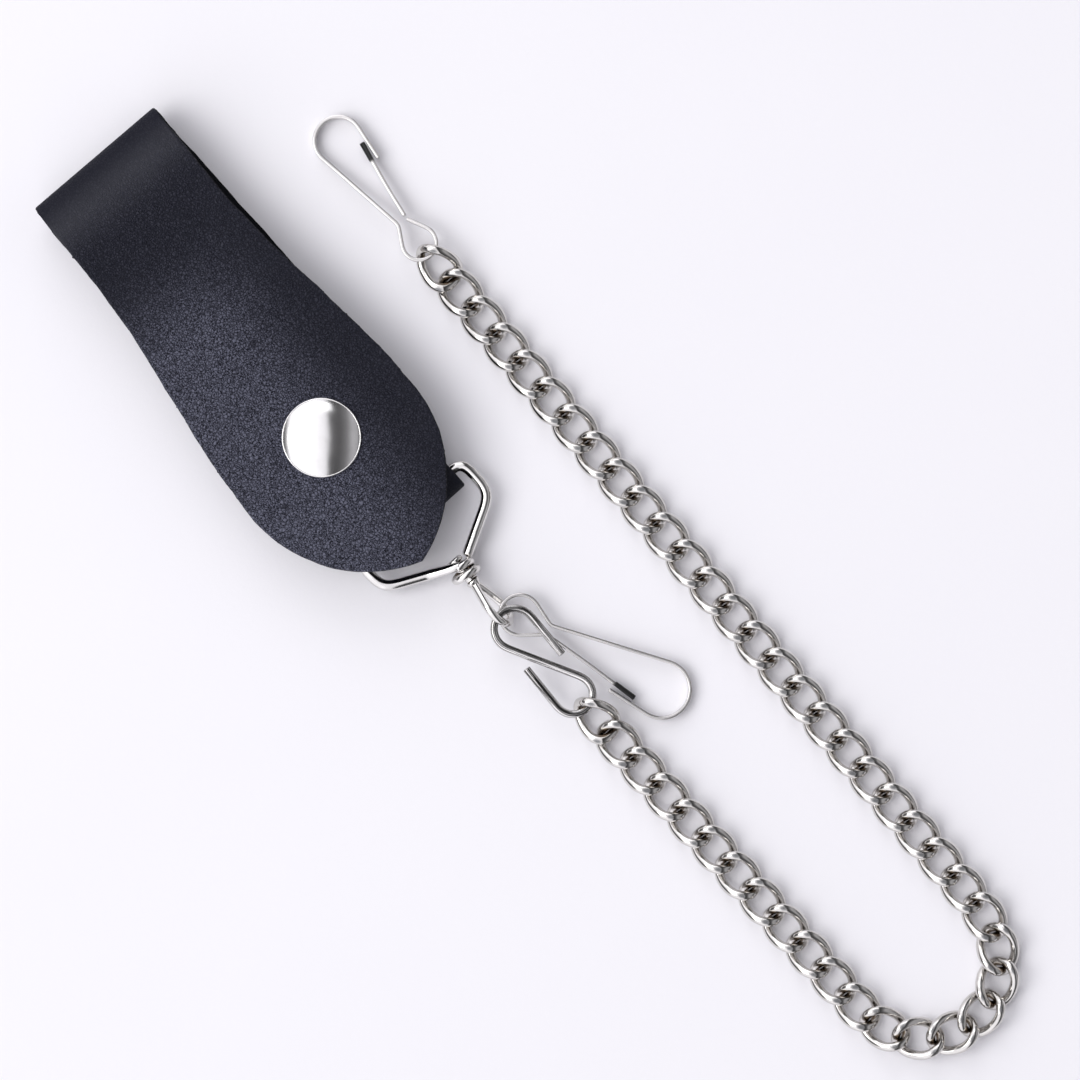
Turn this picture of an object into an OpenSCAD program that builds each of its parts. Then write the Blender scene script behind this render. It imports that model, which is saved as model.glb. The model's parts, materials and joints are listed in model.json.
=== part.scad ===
// Trouser chain with a snap-shut leather belt loop, lying on a table.
// The loop's fold is at the -X end, its flap points along +X, and the chain runs out past the
// flap, turns back and ends in a spring clip beside the loop.

/* [Leather belt loop] */
// Length of the closed loop, from the fold to the tip of the flap
flap_len = 99.6; // [84:0.1:125]
// Width of the strap at the fold
strap_w = 30; // [25:0.5:36]
// Greatest width of the flap
flap_w = 40; // [36:0.5:48]
// Distance from the fold to the widest place of the flap
flap_wide_at = 72.5; // [60:0.5:90]
// Thickness of the leather
leather_t = 2.6; // [2:0.1:3.2]
// Length of the rounded fold
fold_len = 9; // [7:0.5:12]
// Angle by which the back leaf is folded askew
skew = 2.6; // [0:0.1:4]
// Distance from the fold to the middle of the snap
snap_x = 69.2; // [58:0.1:84]
// Distance from the snap to the bar of the ring
bar_from_snap = 20.85; // [17:0.05:26]
// Width of the tab that holds the ring
tab_w = 22.6; // [16:0.2:24]
// Length of the tab that is turned back over the bar
tab_len = 32; // [26:0.5:36]

/* [Snap fastener] */
// Diameter of the cap
cap_d = 15.2; // [12:0.1:17]
// Height of the cap's dome
cap_h = 2.3; // [1.6:0.1:3]
// Diameter of the socket
socket_d = 12.4; // [10:0.1:14]
// Diameter of the stud's head
stud_d = 6.4; // [5:0.1:7]
// Height of the closed snap, from the tab to the flap
snap_stack = 3.2; // [3:0.1:4]
// Diameter of the rear rivet head
rivet_d = 10.4; // [8:0.1:12]

/* [Ring and swivel] */
// Wire thickness of the ring
ring_wire = 2.1; // [1.8:0.1:2.6]
// Width of the ring between the middles of its side wires
ring_w = 27.6; // [25:0.2:32]
// Length of the ring's straight sides
ring_side = 7.6; // [6:0.1:10]
// Distance from the ring's bar to its first eye
eye_at = 15.3; // [14:0.1:19]
// Outer diameter of the ring's eyes
eye_d = 6.4; // [5.6:0.1:7.6]
// Thickness of one eye
eye_t = 1.7; // [1.4:0.1:2]
// Wire thickness of the swivel's loop
loop_wire = 1.5; // [1.2:0.1:1.8]
// Width of the swivel's loop between the middles of its wires
loop_w = 7; // [6:0.1:8.5]
// Distance from the outer eye to the end of the swivel's loop
loop_len = 11.9; // [10.5:0.1:14]
// Angle at which the swivel's loop leans
loop_lean = 68; // [60:1:75]

/* [S-hook] */
// Wire thickness of the S-hook
s_wire = 1.5; // [1.3:0.1:1.9]
// Radius of the S-hook's first bend
s_r1 = 4; // [3.4:0.1:4.6]
// Radius of the S-hook's second bend
s_r2 = 3.8; // [3.2:0.1:4.4]
// Distance between the middles of the S-hook's bends
s_span = 17; // [14:0.1:20]
// Length of the S-hook's straight tails
s_tail = 9.6; // [6:0.1:12]

/* [Spring clips] */
// Thickness of the spring strip
strip_t = 0.65; // [0.5:0.05:0.8]
// Width of the spring strip
strip_w = 2; // [1.8:0.1:2.4]
// Distance between the middles of the first clip's two loops
clip_a_span = 30.8; // [26:0.1:36]
// Radius of the first clip's large loop
clip_a_big = 5.5; // [4.6:0.1:6.2]
// Radius of the first clip's small loop
clip_a_small = 3.9; // [3.7:0.1:4.3]
// Distance between the middles of the second clip's two loops
clip_b_span = 25.3; // [21:0.1:30]
// Radius of the second clip's large loop
clip_b_big = 4.6; // [4:0.1:5.4]
// Radius of the second clip's small loop
clip_b_small = 3.3; // [3:0.1:3.8]

/* [Chain] */
// Length that each link adds to the chain
pitch = 6.8; // [6.2:0.05:7.6]
// Wire thickness of a link
link_wire = 1.85; // [1.6:0.05:2.3]
// Inner width of a link
link_gap = 4.7; // [4:0.1:6]
// Number of links from the S-hook to the turn
out_links = 12; // [8:1:12]
// Number of links from the turn to the second clip
back_links = 24; // [16:1:24]

/* [Hidden] */
$fn = 48;
turns = [19, 24, 26, 27, 27, 26, 22, 7];
links = out_links + len(turns) - 1 + back_links;
out_heading = 3;

// Heights above the table
tab_gap = 0.15;
bar_play = 0.35;
tab_z = leather_t + tab_gap;
snap_z = tab_z + leather_t;
flap_z = snap_z + snap_stack;
strap_h = flap_z + leather_t;
axle_z = leather_t + ring_wire / 2 + bar_play;
bar_x = snap_x + bar_from_snap;
fold_gap = 0.1;
flare_x = 18;

// Snap fastener
post_r = 1.8;
post_wall = 0.45;
post_play = 0.1;
rivet_t = 0.4;
stud_base_t = 0.5;
stud_neck_r = stud_d / 2 - 0.4;
stud_h = snap_stack - 0.55;
socket_lip_t = 0.5;
socket_wall_r = socket_d / 2 - 0.9;
socket_play = 0.3;
socket_bottom = snap_z + stud_base_t + 0.2;
spring_d = 0.5;
spring_z = snap_z + stud_base_t + 0.75;
spring_r = stud_neck_r + spring_d / 2 + 0.1;

// Ring and swivel
pin_r = 1.1;
pin_play = 0.08;
eye_gap = 0.3;
ring_bend = 3;
ring_corner = 2.2;
head_r = 1.65;
head_t = 1.1;
head_gap = 0.3;
eye_end = eye_at + eye_t * 1.5 + eye_gap;
loop_tip = eye_end + loop_len - loop_wire / 2;
loop_neck = eye_end + 1.4;
tip = (bar_x + loop_tip) * [cos(skew), sin(skew)];

// S-hook: its room in the swivel's loop, and its slope down to the chain
s_room = 0.98;
s_x = tip[0] + s_r1 - (loop_wire + s_wire) / 2 - s_room;
s_y = tip[1];
s_z = axle_z + 1;
s_slope = 4.7;
s_heading = 2.4;
s_cross = asin((s_r1 + s_r2) / s_span);

// Chain
link_play = 0.12;
link_half = (pitch + link_wire + link_play) / 2;
link_side = (link_gap + link_wire) / 2;
link_twist = -45;
link_power = 2.6;
link_rings = 22;
link_facets = 8;
wire_facets = 10;
hook_play = 0.17;
lie_z = max([for (t = [0:3:357]) link_point(t)[2]]) + link_wire / 2;
// Thicker wire leaves the end links less room to roll
roll_loss = 24;
end_roll = 23 - roll_loss * (link_wire - 1.85);
chain_aside = 1.1;
chain_drop = 0.5;
last_rise = 1.25;
chain_x = s_x + (s_span + s_r2) * cos(s_heading) - s_wire / 2 - hook_play;
chain_y = s_y + chain_aside;
chain_z = axle_z - chain_drop;
last_z = lie_z + last_rise;

// Where the clips hang, the first on the swivel's loop and the second on the last link, and how
// steeply they come down to the table
clip_rest = 0.1;
clip_a_in = 1.41;
clip_a_drop = 1.1;
clip_b_in = 1.35;
clip_a_heading = 23;
clip_a_side = 64.2;
clip_a_hang = clip_a_small - clip_a_in;
clip_a_z = axle_z - clip_a_drop;
clip_a_pitch = asin((clip_a_z - strip_w / 2 - clip_rest) / (clip_a_span + clip_a_big + clip_a_hang / 2));
clip_b_heading = 179;
clip_b_hang = clip_b_small + strip_t / 2 - clip_b_in;
clip_b_pitch = asin((last_z - strip_w / 2 - clip_rest) / (clip_b_span + clip_b_big + clip_b_hang));

// The layout is centred on its own footprint
turn_places = [for (i = [1:links]) joint_after(i)];
far_x = max([for (p = turn_places) p[0]]) + link_side + link_wire / 2;
far_y = max([for (p = turn_places) p[1]]) + link_side + link_wire / 2;
centre = [far_x / 2, (far_y - flap_w / 2) / 2, 0];

function pad(i) = str(i < 10 ? "0" : "", i);

// ---- Curves and wires ----

module placed() {
    translate(-centre) children();
}

function heading(p, q) = atan2(q[1] - p[1], q[0] - p[0]);
function wrap(a) = a > 180 ? a - 360 : a < -180 ? a + 360 : a;
function along(p, q, s) = p + (q - p) * s / norm(q - p);
function arc_points(c, r, a, b, n) =
    [for (i = [0:n]) c + r * [cos(a + (b - a) * i / n), sin(a + (b - a) * i / n)]];

// Points round one corner of a bent wire
function corner(p, i, r, n) =
    let (turn = wrap(heading(p[i], p[i + 1]) - heading(p[i - 1], p[i])),
         side = turn > 0 ? 90 : -90,
         foot = along(p[i], p[i - 1], r * tan(abs(turn) / 2)),
         start = heading(p[i - 1], p[i]),
         c = foot + r * [cos(start + side), sin(start + side)])
    arc_points(c, r, start - side, start - side + turn, n);

// The way square to a path at one of its points
function square_to(p, i) =
    let (a = p[max(i - 1, 0)], b = p[min(i + 1, len(p) - 1)], v = (b - a) / norm(b - a)) [-v[1], v[0]];

// A round wire that follows points in the XY plane
module wire(path, d) {
    n = wire_facets;
    last_ring = len(path) - 1;
    polyhedron(
        points = [for (i = [0:last_ring], j = [0:n - 1])
            let (s = square_to(path, i), r = d / 2, a = 360 * j / n)
            [path[i][0] + r * cos(a) * s[0], path[i][1] + r * cos(a) * s[1], r * sin(a)]],
        faces = concat(
            [[for (j = [0:n - 1]) j]],
            [for (i = [0:last_ring - 1], j = [0:n - 1])
                [i * n + j, (i + 1) * n + j, (i + 1) * n + (j + 1) % n, i * n + (j + 1) % n]],
            [[for (j = [0:n - 1]) last_ring * n + n - 1 - j]]
        )
    );
}

// ---- Leather ----

// Half width of the flap at a distance x from the fold: a smooth flare, then a pointed arch
flap_r = (pow(flap_len - flap_wide_at, 2) + pow(flap_w / 2, 2)) / flap_w;
function ease(t) = t <= 0 ? 0 : t >= 1 ? 1 : t * t * (3 - 2 * t);
function flare(x) = strap_w / 2 + (flap_w - strap_w) / 2 * ease((x - flare_x) / (flap_wide_at - flare_x));
function arch(x) = flap_w / 2 - flap_r + sqrt(flap_r * flap_r - pow(x - flap_wide_at, 2));
function flap_half(x) = x < flap_wide_at ? flare(x) : max(0, arch(x));

module flap_plan() {
    xs = concat([for (x = [fold_len + fold_gap:3.5:flap_wide_at]) x],
                [for (i = [1:16]) flap_wide_at + (flap_len - flap_wide_at) * sin(90 * i / 16)]);
    left = [for (x = xs) [x, flap_half(x)]];
    polygon(concat(left, [for (i = [len(left) - 2:-1:0]) [left[i][0], -left[i][1]]]));
}

module strap_flap() {
    color("#23252c") placed() difference() {
        translate([0, 0, flap_z]) linear_extrude(leather_t) flap_plan();
        translate([snap_x, 0, flap_z - 1]) cylinder(r = post_r + post_play, h = leather_t + 2);
    }
}

// Side view of the fold, an ellipse outside with the leather's thickness kept all round
module fold_side() {
    outer = [for (a = [90:6:270]) [fold_len * (1 + cos(a)), strap_h / 2 * (1 + sin(a))]];
    way = [for (a = [90:6:270]) [cos(a) / fold_len, sin(a) / (strap_h / 2)]];
    inner = [for (i = [len(outer) - 1:-1:0]) outer[i] - leather_t * way[i] / norm(way[i])];
    polygon(concat(outer, inner));
}

// Side view of the tab: round the bar, down, and flat back over the leaf
module tab_side() {
    slope_x = 10;
    up = axle_z * 2 - leather_t - tab_z;
    top = [for (i = [0:8]) [-slope_x * i / 8, tab_z + up * (1 - ease(i / 8))]];
    low = concat(top, [[-tab_len, tab_z]]);
    difference() {
        circle(r = axle_z);
        circle(r = axle_z - leather_t);
        translate([-2 * axle_z, -axle_z]) square(2 * axle_z);
    }
    translate([0, -axle_z]) polygon(concat(low, [for (i = [len(low) - 1:-1:0]) low[i] + [0, leather_t]]));
}

module back_plan() {
    taper_x = 60;
    neck_x = 82;
    polygon([[fold_len - 0.5, -strap_w / 2], [taper_x, -strap_w / 2], [neck_x, -tab_w / 2],
             [bar_x, -tab_w / 2], [bar_x, tab_w / 2], [neck_x, tab_w / 2],
             [taper_x, strap_w / 2], [fold_len - 0.5, strap_w / 2]]);
}

module strap_back() {
    color("#1d1f26") placed() difference() {
        union() {
            translate([0, strap_w / 2, 0]) rotate([90, 0, 0]) linear_extrude(strap_w) fold_side();
            rotate([0, 0, skew]) linear_extrude(leather_t) back_plan();
            rotate([0, 0, skew]) translate([bar_x, tab_w / 2, axle_z]) rotate([90, 0, 0])
                linear_extrude(tab_w) tab_side();
        }
        translate([snap_x, 0, -1]) cylinder(r = post_r + post_play, h = snap_z + 2);
        translate([snap_x, 0, -1]) cylinder(d = rivet_d + 2 * post_play, h = rivet_t + 1);
    }
}

// ---- Snap fastener ----

module turned(profile) {
    translate([snap_x, 0, 0]) rotate_extrude() polygon(profile);
}

module snap_cap() {
    rim = 0.55;
    top = strap_h + cap_h;
    dome = [for (i = [0:12])
        [cap_d / 2 * sin(90 * i / 12), strap_h + rim + (cap_h - rim) * cos(90 * i / 12)]];
    under = [for (i = [11:-1:1])
        [(cap_d / 2 - 0.5) * sin(90 * i / 12), strap_h + 0.1 + (cap_h - 0.6) * cos(90 * i / 12)]];
    shell = concat(dome, [[cap_d / 2, strap_h + 0.1], [cap_d / 2 - 0.4, strap_h]],
                   [[cap_d / 2 - 0.6, strap_h + 0.1]], under,
                   [[post_r, strap_h + cap_h - 0.6], [post_r, flap_z - 0.2]],
                   [[post_r - post_wall, flap_z - 0.2], [post_r - post_wall, top - 0.5], [0, top - 0.5]]);
    color("#d9d6d2") placed() turned(shell);
}

module snap_socket() {
    bore = stud_d / 2 + socket_play;
    groove = spring_r + spring_d / 2 + 0.15;
    color("#c9c6c0") placed() turned([
        [bore, socket_bottom], [socket_wall_r, socket_bottom], [socket_wall_r, flap_z - socket_lip_t],
        [socket_d / 2, flap_z - socket_lip_t], [socket_d / 2, flap_z], [post_r + post_play, flap_z],
        [post_r + post_play, flap_z - socket_lip_t], [bore, flap_z - socket_lip_t],
        [bore, spring_z + 0.4], [groove, spring_z + 0.4], [groove, spring_z - 0.4], [bore, spring_z - 0.4]
    ]);
}

module snap_spring() {
    color("#b8b4ac") placed() translate([snap_x, 0, spring_z])
        rotate_extrude() translate([spring_r, 0]) circle(d = spring_d, $fn = 24);
}

module snap_stud() {
    base = snap_z + stud_base_t;
    top = snap_z + stud_h;
    color("#c9c6c0") placed() turned([
        [post_r + post_play, snap_z], [socket_d / 2 - 0.2, snap_z], [socket_d / 2 - 0.2, base],
        [stud_neck_r, base], [stud_neck_r, base + 1.0], [stud_d / 2, top - 0.7],
        [stud_d / 2, top - 0.4], [stud_d / 2 - 0.4, top], [post_r + 0.4, top],
        [post_r + 0.4, top - 0.4], [post_r + post_play, top - 0.4]
    ]);
}

module snap_rivet() {
    top = snap_z + stud_h - 0.4;
    color("#c9c6c0") placed() turned([
        [post_r - post_wall, 0.1], [post_r, 0], [rivet_d / 2 - 0.3, 0], [rivet_d / 2, rivet_t - 0.1],
        [rivet_d / 2 - 0.1, rivet_t], [post_r, rivet_t], [post_r, top], [post_r - post_wall, top]
    ]);
}

// ---- Ring and swivel ----

module at_bar() {
    translate([bar_x * cos(skew), bar_x * sin(skew), axle_z]) rotate([0, 0, skew]) children();
}

// One turned eye of the ring, bored for the swivel's pin
module eye(u) {
    soft = 0.35;
    r = eye_d / 2;
    bore = pin_r + pin_play;
    translate([u - eye_t / 2, 0, 0]) rotate([0, 90, 0]) rotate_extrude() polygon([
        [bore, 0], [r - soft, 0], [r, soft], [r, eye_t - soft], [r - soft, eye_t], [bore, eye_t]
    ]);
}

module ring() {
    half = ring_w / 2;
    meet = pin_r + ring_wire / 2;
    bends = [[eye_at, meet], [ring_side, half], [0, half], [0, -half], [ring_side, -half], [eye_at, -meet]];
    path = concat([bends[0]], corner(bends, 1, ring_bend, 5), corner(bends, 2, ring_corner, 7),
                  corner(bends, 3, ring_corner, 7), corner(bends, 4, ring_bend, 5), [bends[5]]);
    color("#cfccc6") placed() at_bar() {
        wire(path, ring_wire);
        eye(eye_at);
        eye(eye_at + eye_t + eye_gap);
        translate([eye_at, 0, -meet]) rotate([0, 90, 0]) cylinder(r = 0.7, h = eye_t + eye_gap);
    }
}

module swivel() {
    pin_start = eye_at - eye_t / 2 - head_gap - head_t;
    loop_r = loop_w / 2;
    mid = loop_tip - loop_r;
    side = asin(loop_r / (mid - loop_neck));
    color("#d4d1cb") placed() at_bar() rotate([-loop_lean, 0, 0]) {
        translate([pin_start, 0, 0]) rotate([0, 90, 0]) cylinder(r = head_r, h = head_t);
        translate([pin_start + head_t, 0, 0]) rotate([0, 90, 0])
            cylinder(r = pin_r, h = loop_neck - pin_start - head_t + 0.9);
        wire(concat([[loop_neck, 0.2]], arc_points([mid, 0], loop_r, 90 + side, -90 - side, 20),
                    [[loop_neck, -0.2]]), loop_wire);
    }
}

// ---- S-hook ----

module s_hook() {
    far = [s_span, 0];
    cross = s_cross - 90;
    top = 90 - s_heading;
    tail = s_tail * [cos(s_heading), -sin(s_heading)];
    bend_1 = arc_points([0, 0], s_r1, top, 360 + cross, 18);
    bend_2 = arc_points(far, s_r2, 180 + cross, top - 180, 18);
    color("#b9b6b0") placed() translate([s_x, s_y, s_z]) rotate([0, s_slope, s_heading])
        wire(concat([bend_1[0] + tail], bend_1, bend_2, [bend_2[18] - tail]), s_wire);
}

// ---- Spring clips ----

// Shares of the small loop's radius and of the large loop's radius
waist_x = 1.58;
gate_x = 0.75;
gate_y = 0.74;
waist_gap = 1;
keeper_end = 95;
keeper_len = 8.5;

// Angle on a circle round c where a line from p touches it, on the side given
function touch_angle(p, c, r, side) = heading(c, p) + side * acos(r / norm(p - c));

// Middle line of a clip's body: waist, small loop, waist, arm, large loop and keeper
function clip_path(span, big, small) =
    let (w = [small * waist_x, waist_gap], far = [span, 0],
         s = touch_angle(w, [0, 0], small, 1), b = touch_angle(w, far, big, -1),
         end = far + big * [cos(-keeper_end), sin(-keeper_end)])
    concat([[w[0], -w[1]]], arc_points([0, 0], small, 360 - s, s, 28), [w],
           arc_points(far, big, b, -keeper_end, 26),
           [end + keeper_len * big / 5.5 * [-sin(keeper_end), -cos(keeper_end)]]);

module strip(path, t) {
    left = [for (i = [0:len(path) - 1]) path[i] + t / 2 * square_to(path, i)];
    right = [for (i = [len(path) - 1:-1:0]) path[i] - t / 2 * square_to(path, i)];
    translate([0, 0, -strip_w / 2]) linear_extrude(strip_w) polygon(concat(left, right));
}

module clip_body(span, big, small) {
    strip(clip_path(span, big, small), strip_t);
}

function gate_tip(span, big) = [span - big * gate_x, -big * gate_y];

module clip_gate(span, big, small) {
    root = [small * waist_x, -waist_gap];
    tip = gate_tip(span, big);
    strip([along(root, tip, strip_t * 0.7), tip, tip + [strip_t * 0.5, strip_t * 0.5]], strip_t);
}

module at_clip_a() {
    translate([tip[0], tip[1], clip_a_z]) rotate([0, clip_a_pitch, clip_a_heading])
        translate(clip_a_hang * [cos(clip_a_side), sin(clip_a_side), 0]) children();
}

module at_clip_b() {
    translate([last[0], last[1], last_z]) rotate([0, clip_b_pitch, clip_b_heading])
        translate([clip_b_hang, 0, 0]) children();
}

module clip_a() {
    color("#c4c2c0") placed() at_clip_a() clip_body(clip_a_span, clip_a_big, clip_a_small);
}

module clip_a_gate() {
    color("#bdbbb9") placed() at_clip_a() clip_gate(clip_a_span, clip_a_big, clip_a_small);
}

module clip_b() {
    color("#c4c2c0") placed() at_clip_b() clip_body(clip_b_span, clip_b_big, clip_b_small);
}

module clip_b_gate() {
    color("#bdbbb9") placed() at_clip_b() clip_gate(clip_b_span, clip_b_big, clip_b_small);
}

// ---- Chain ----

function sum_to(v, n) = n <= 0 ? 0 : v[n - 1] + sum_to(v, n - 1);
function link_heading(i) = out_heading + sum_to(turns, min(max(i - out_links, 0), len(turns)));
function link_rise(i) = i == 1 ? (lie_z - chain_z) : i == links ? (last_z - lie_z) : 0;
function link_roll(i) = i == 1 ? end_roll : i == links ? -end_roll : 0;
function link_step(i) =
    let (rise = link_rise(i), flat = sqrt(pitch * pitch - rise * rise), h = link_heading(i))
    [flat * cos(h), flat * sin(h), rise];
function joint_after(i) = i == 0 ? [chain_x, chain_y, chain_z] : joint_after(i - 1) + link_step(i);
last = joint_after(links);

// Middle line of a link: a rounded oblong, turned about its length from end to end
function oval(t, a, b) = [a * sign(cos(t)) * pow(abs(cos(t)), 2 / link_power),
                          b * sign(sin(t)) * pow(abs(sin(t)), 2 / link_power)];
function link_point(t) =
    let (p = oval(t, link_half, link_side), turn = link_twist * p[0] / link_half)
    [p[0], p[1] * cos(turn), p[1] * sin(turn)];

module link_solid() {
    points = [for (i = [0:link_rings - 1]) link_point(360 * i / link_rings)];
    rings = [for (i = [0:link_rings - 1])
        let (p = points[i],
             v = points[(i + 1) % link_rings] - points[(i + link_rings - 1) % link_rings],
             t = v / norm(v), o = p - (p * t) * t, out = o / norm(o), up = cross(t, out))
        [for (j = [0:link_facets - 1])
            p + link_wire / 2 * (cos(360 * j / link_facets) * out + sin(360 * j / link_facets) * up)]];
    polyhedron(
        points = [for (ring = rings) each ring],
        faces = [for (i = [0:link_rings - 1], j = [0:link_facets - 1], k = [0, 1])
            let (n = link_facets, a = i * n + j, b = i * n + (j + 1) % n,
                 c = ((i + 1) % link_rings) * n + (j + 1) % n, d = ((i + 1) % link_rings) * n + j)
            k == 0 ? [a, c, b] : [a, d, c]]
    );
}

module chain_link(i) {
    start = joint_after(i - 1);
    middle = start + link_step(i) / 2;
    rise = asin(link_rise(i) / pitch);
    color("#c8c5bf") placed() translate(middle) rotate([link_roll(i), -rise, link_heading(i)]) link_solid();
}

strap_back();
strap_flap();
snap_cap();
snap_socket();
snap_spring();
snap_stud();
snap_rivet();
ring();
swivel();
s_hook();
clip_a();
clip_a_gate();
clip_b();
clip_b_gate();
for (i = [1:links]) chain_link(i);
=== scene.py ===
"""A trouser chain with a snap-shut leather belt loop: its visible surfaces, finishes and light.

Every class below is one sub-assembly of the object, or one of its finishes. Lengths in the classes are
millimetres, as a maker would give them, and meshes are written in metres in the row's own frame.
"""

import json
import logging
import math
from dataclasses import dataclass, field
from enum import Enum
from typing import Any, Callable

import bmesh
import bpy
import numpy as np
from mathutils import Matrix, Vector


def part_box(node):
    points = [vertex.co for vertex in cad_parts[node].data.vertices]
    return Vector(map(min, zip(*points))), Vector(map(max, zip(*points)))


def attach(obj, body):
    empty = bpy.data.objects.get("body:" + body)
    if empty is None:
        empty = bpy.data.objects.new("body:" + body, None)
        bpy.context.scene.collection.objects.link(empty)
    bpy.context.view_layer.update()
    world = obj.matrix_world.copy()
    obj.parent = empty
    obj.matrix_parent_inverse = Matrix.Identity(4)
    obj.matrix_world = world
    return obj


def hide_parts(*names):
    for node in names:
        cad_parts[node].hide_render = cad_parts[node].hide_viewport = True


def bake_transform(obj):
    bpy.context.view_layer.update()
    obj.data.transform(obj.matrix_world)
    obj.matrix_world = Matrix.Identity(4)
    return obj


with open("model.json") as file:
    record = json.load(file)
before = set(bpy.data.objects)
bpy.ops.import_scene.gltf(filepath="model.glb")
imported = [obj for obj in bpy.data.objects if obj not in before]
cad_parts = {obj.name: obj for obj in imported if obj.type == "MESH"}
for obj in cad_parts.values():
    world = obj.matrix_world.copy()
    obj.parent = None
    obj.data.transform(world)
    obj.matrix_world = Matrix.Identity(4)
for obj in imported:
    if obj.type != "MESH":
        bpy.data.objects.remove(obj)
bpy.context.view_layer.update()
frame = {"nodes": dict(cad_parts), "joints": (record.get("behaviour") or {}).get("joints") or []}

LOG = logging.getLogger("trouser_chain")
MM = 0.001
UV_SPAN = 100.0  # millimetres of surface to one unit of the UV layer
WELD = 2e-6  # metres within which two vertices are one
Array = np.ndarray
Triple = tuple[float, float, float]
Colour = tuple[float, float, float, float]
X_AXIS, Y_AXIS, Z_AXIS = np.eye(3)


# ---- Shader arithmetic ----


class Signal:
    """A shader socket, or a plain number, that takes part in Python arithmetic."""

    def __init__(self, graph: "Graph", source: Any) -> None:
        """Wraps a value.

        Args:
            graph: The material's node graph.
            source: An output socket or a number.
        """
        self.graph = graph
        self.source = source

    def _math(self, operation: str, left: Any, right: Any) -> "Signal":
        """Adds one Math node and returns its result."""
        made = self.graph.add("ShaderNodeMath", {"operation": operation}, {0: left, 1: right})
        return Signal(self.graph, made.outputs[0])

    def __add__(self, other: Any) -> "Signal":
        """Sum."""
        return self._math("ADD", self, other)

    def __radd__(self, other: Any) -> "Signal":
        """Reflected sum."""
        return self._math("ADD", other, self)

    def __sub__(self, other: Any) -> "Signal":
        """Difference."""
        return self._math("SUBTRACT", self, other)

    def __rsub__(self, other: Any) -> "Signal":
        """Reflected difference."""
        return self._math("SUBTRACT", other, self)

    def __mul__(self, other: Any) -> "Signal":
        """Product."""
        return self._math("MULTIPLY", self, other)

    def __rmul__(self, other: Any) -> "Signal":
        """Reflected product."""
        return self._math("MULTIPLY", other, self)

    def step(self, low: float, high: float) -> "Signal":
        """Smooth rise from 0 at low to 1 at high.

        Args:
            low: Value below which the result is 0.
            high: Value above which the result is 1.

        Returns:
            The eased value.
        """
        made = self.graph.add(
            "ShaderNodeMapRange",
            {"interpolation_type": "SMOOTHSTEP"},
            {"Value": self, "From Min": low, "From Max": high},
        )
        return Signal(self.graph, made.outputs["Result"])


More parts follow.
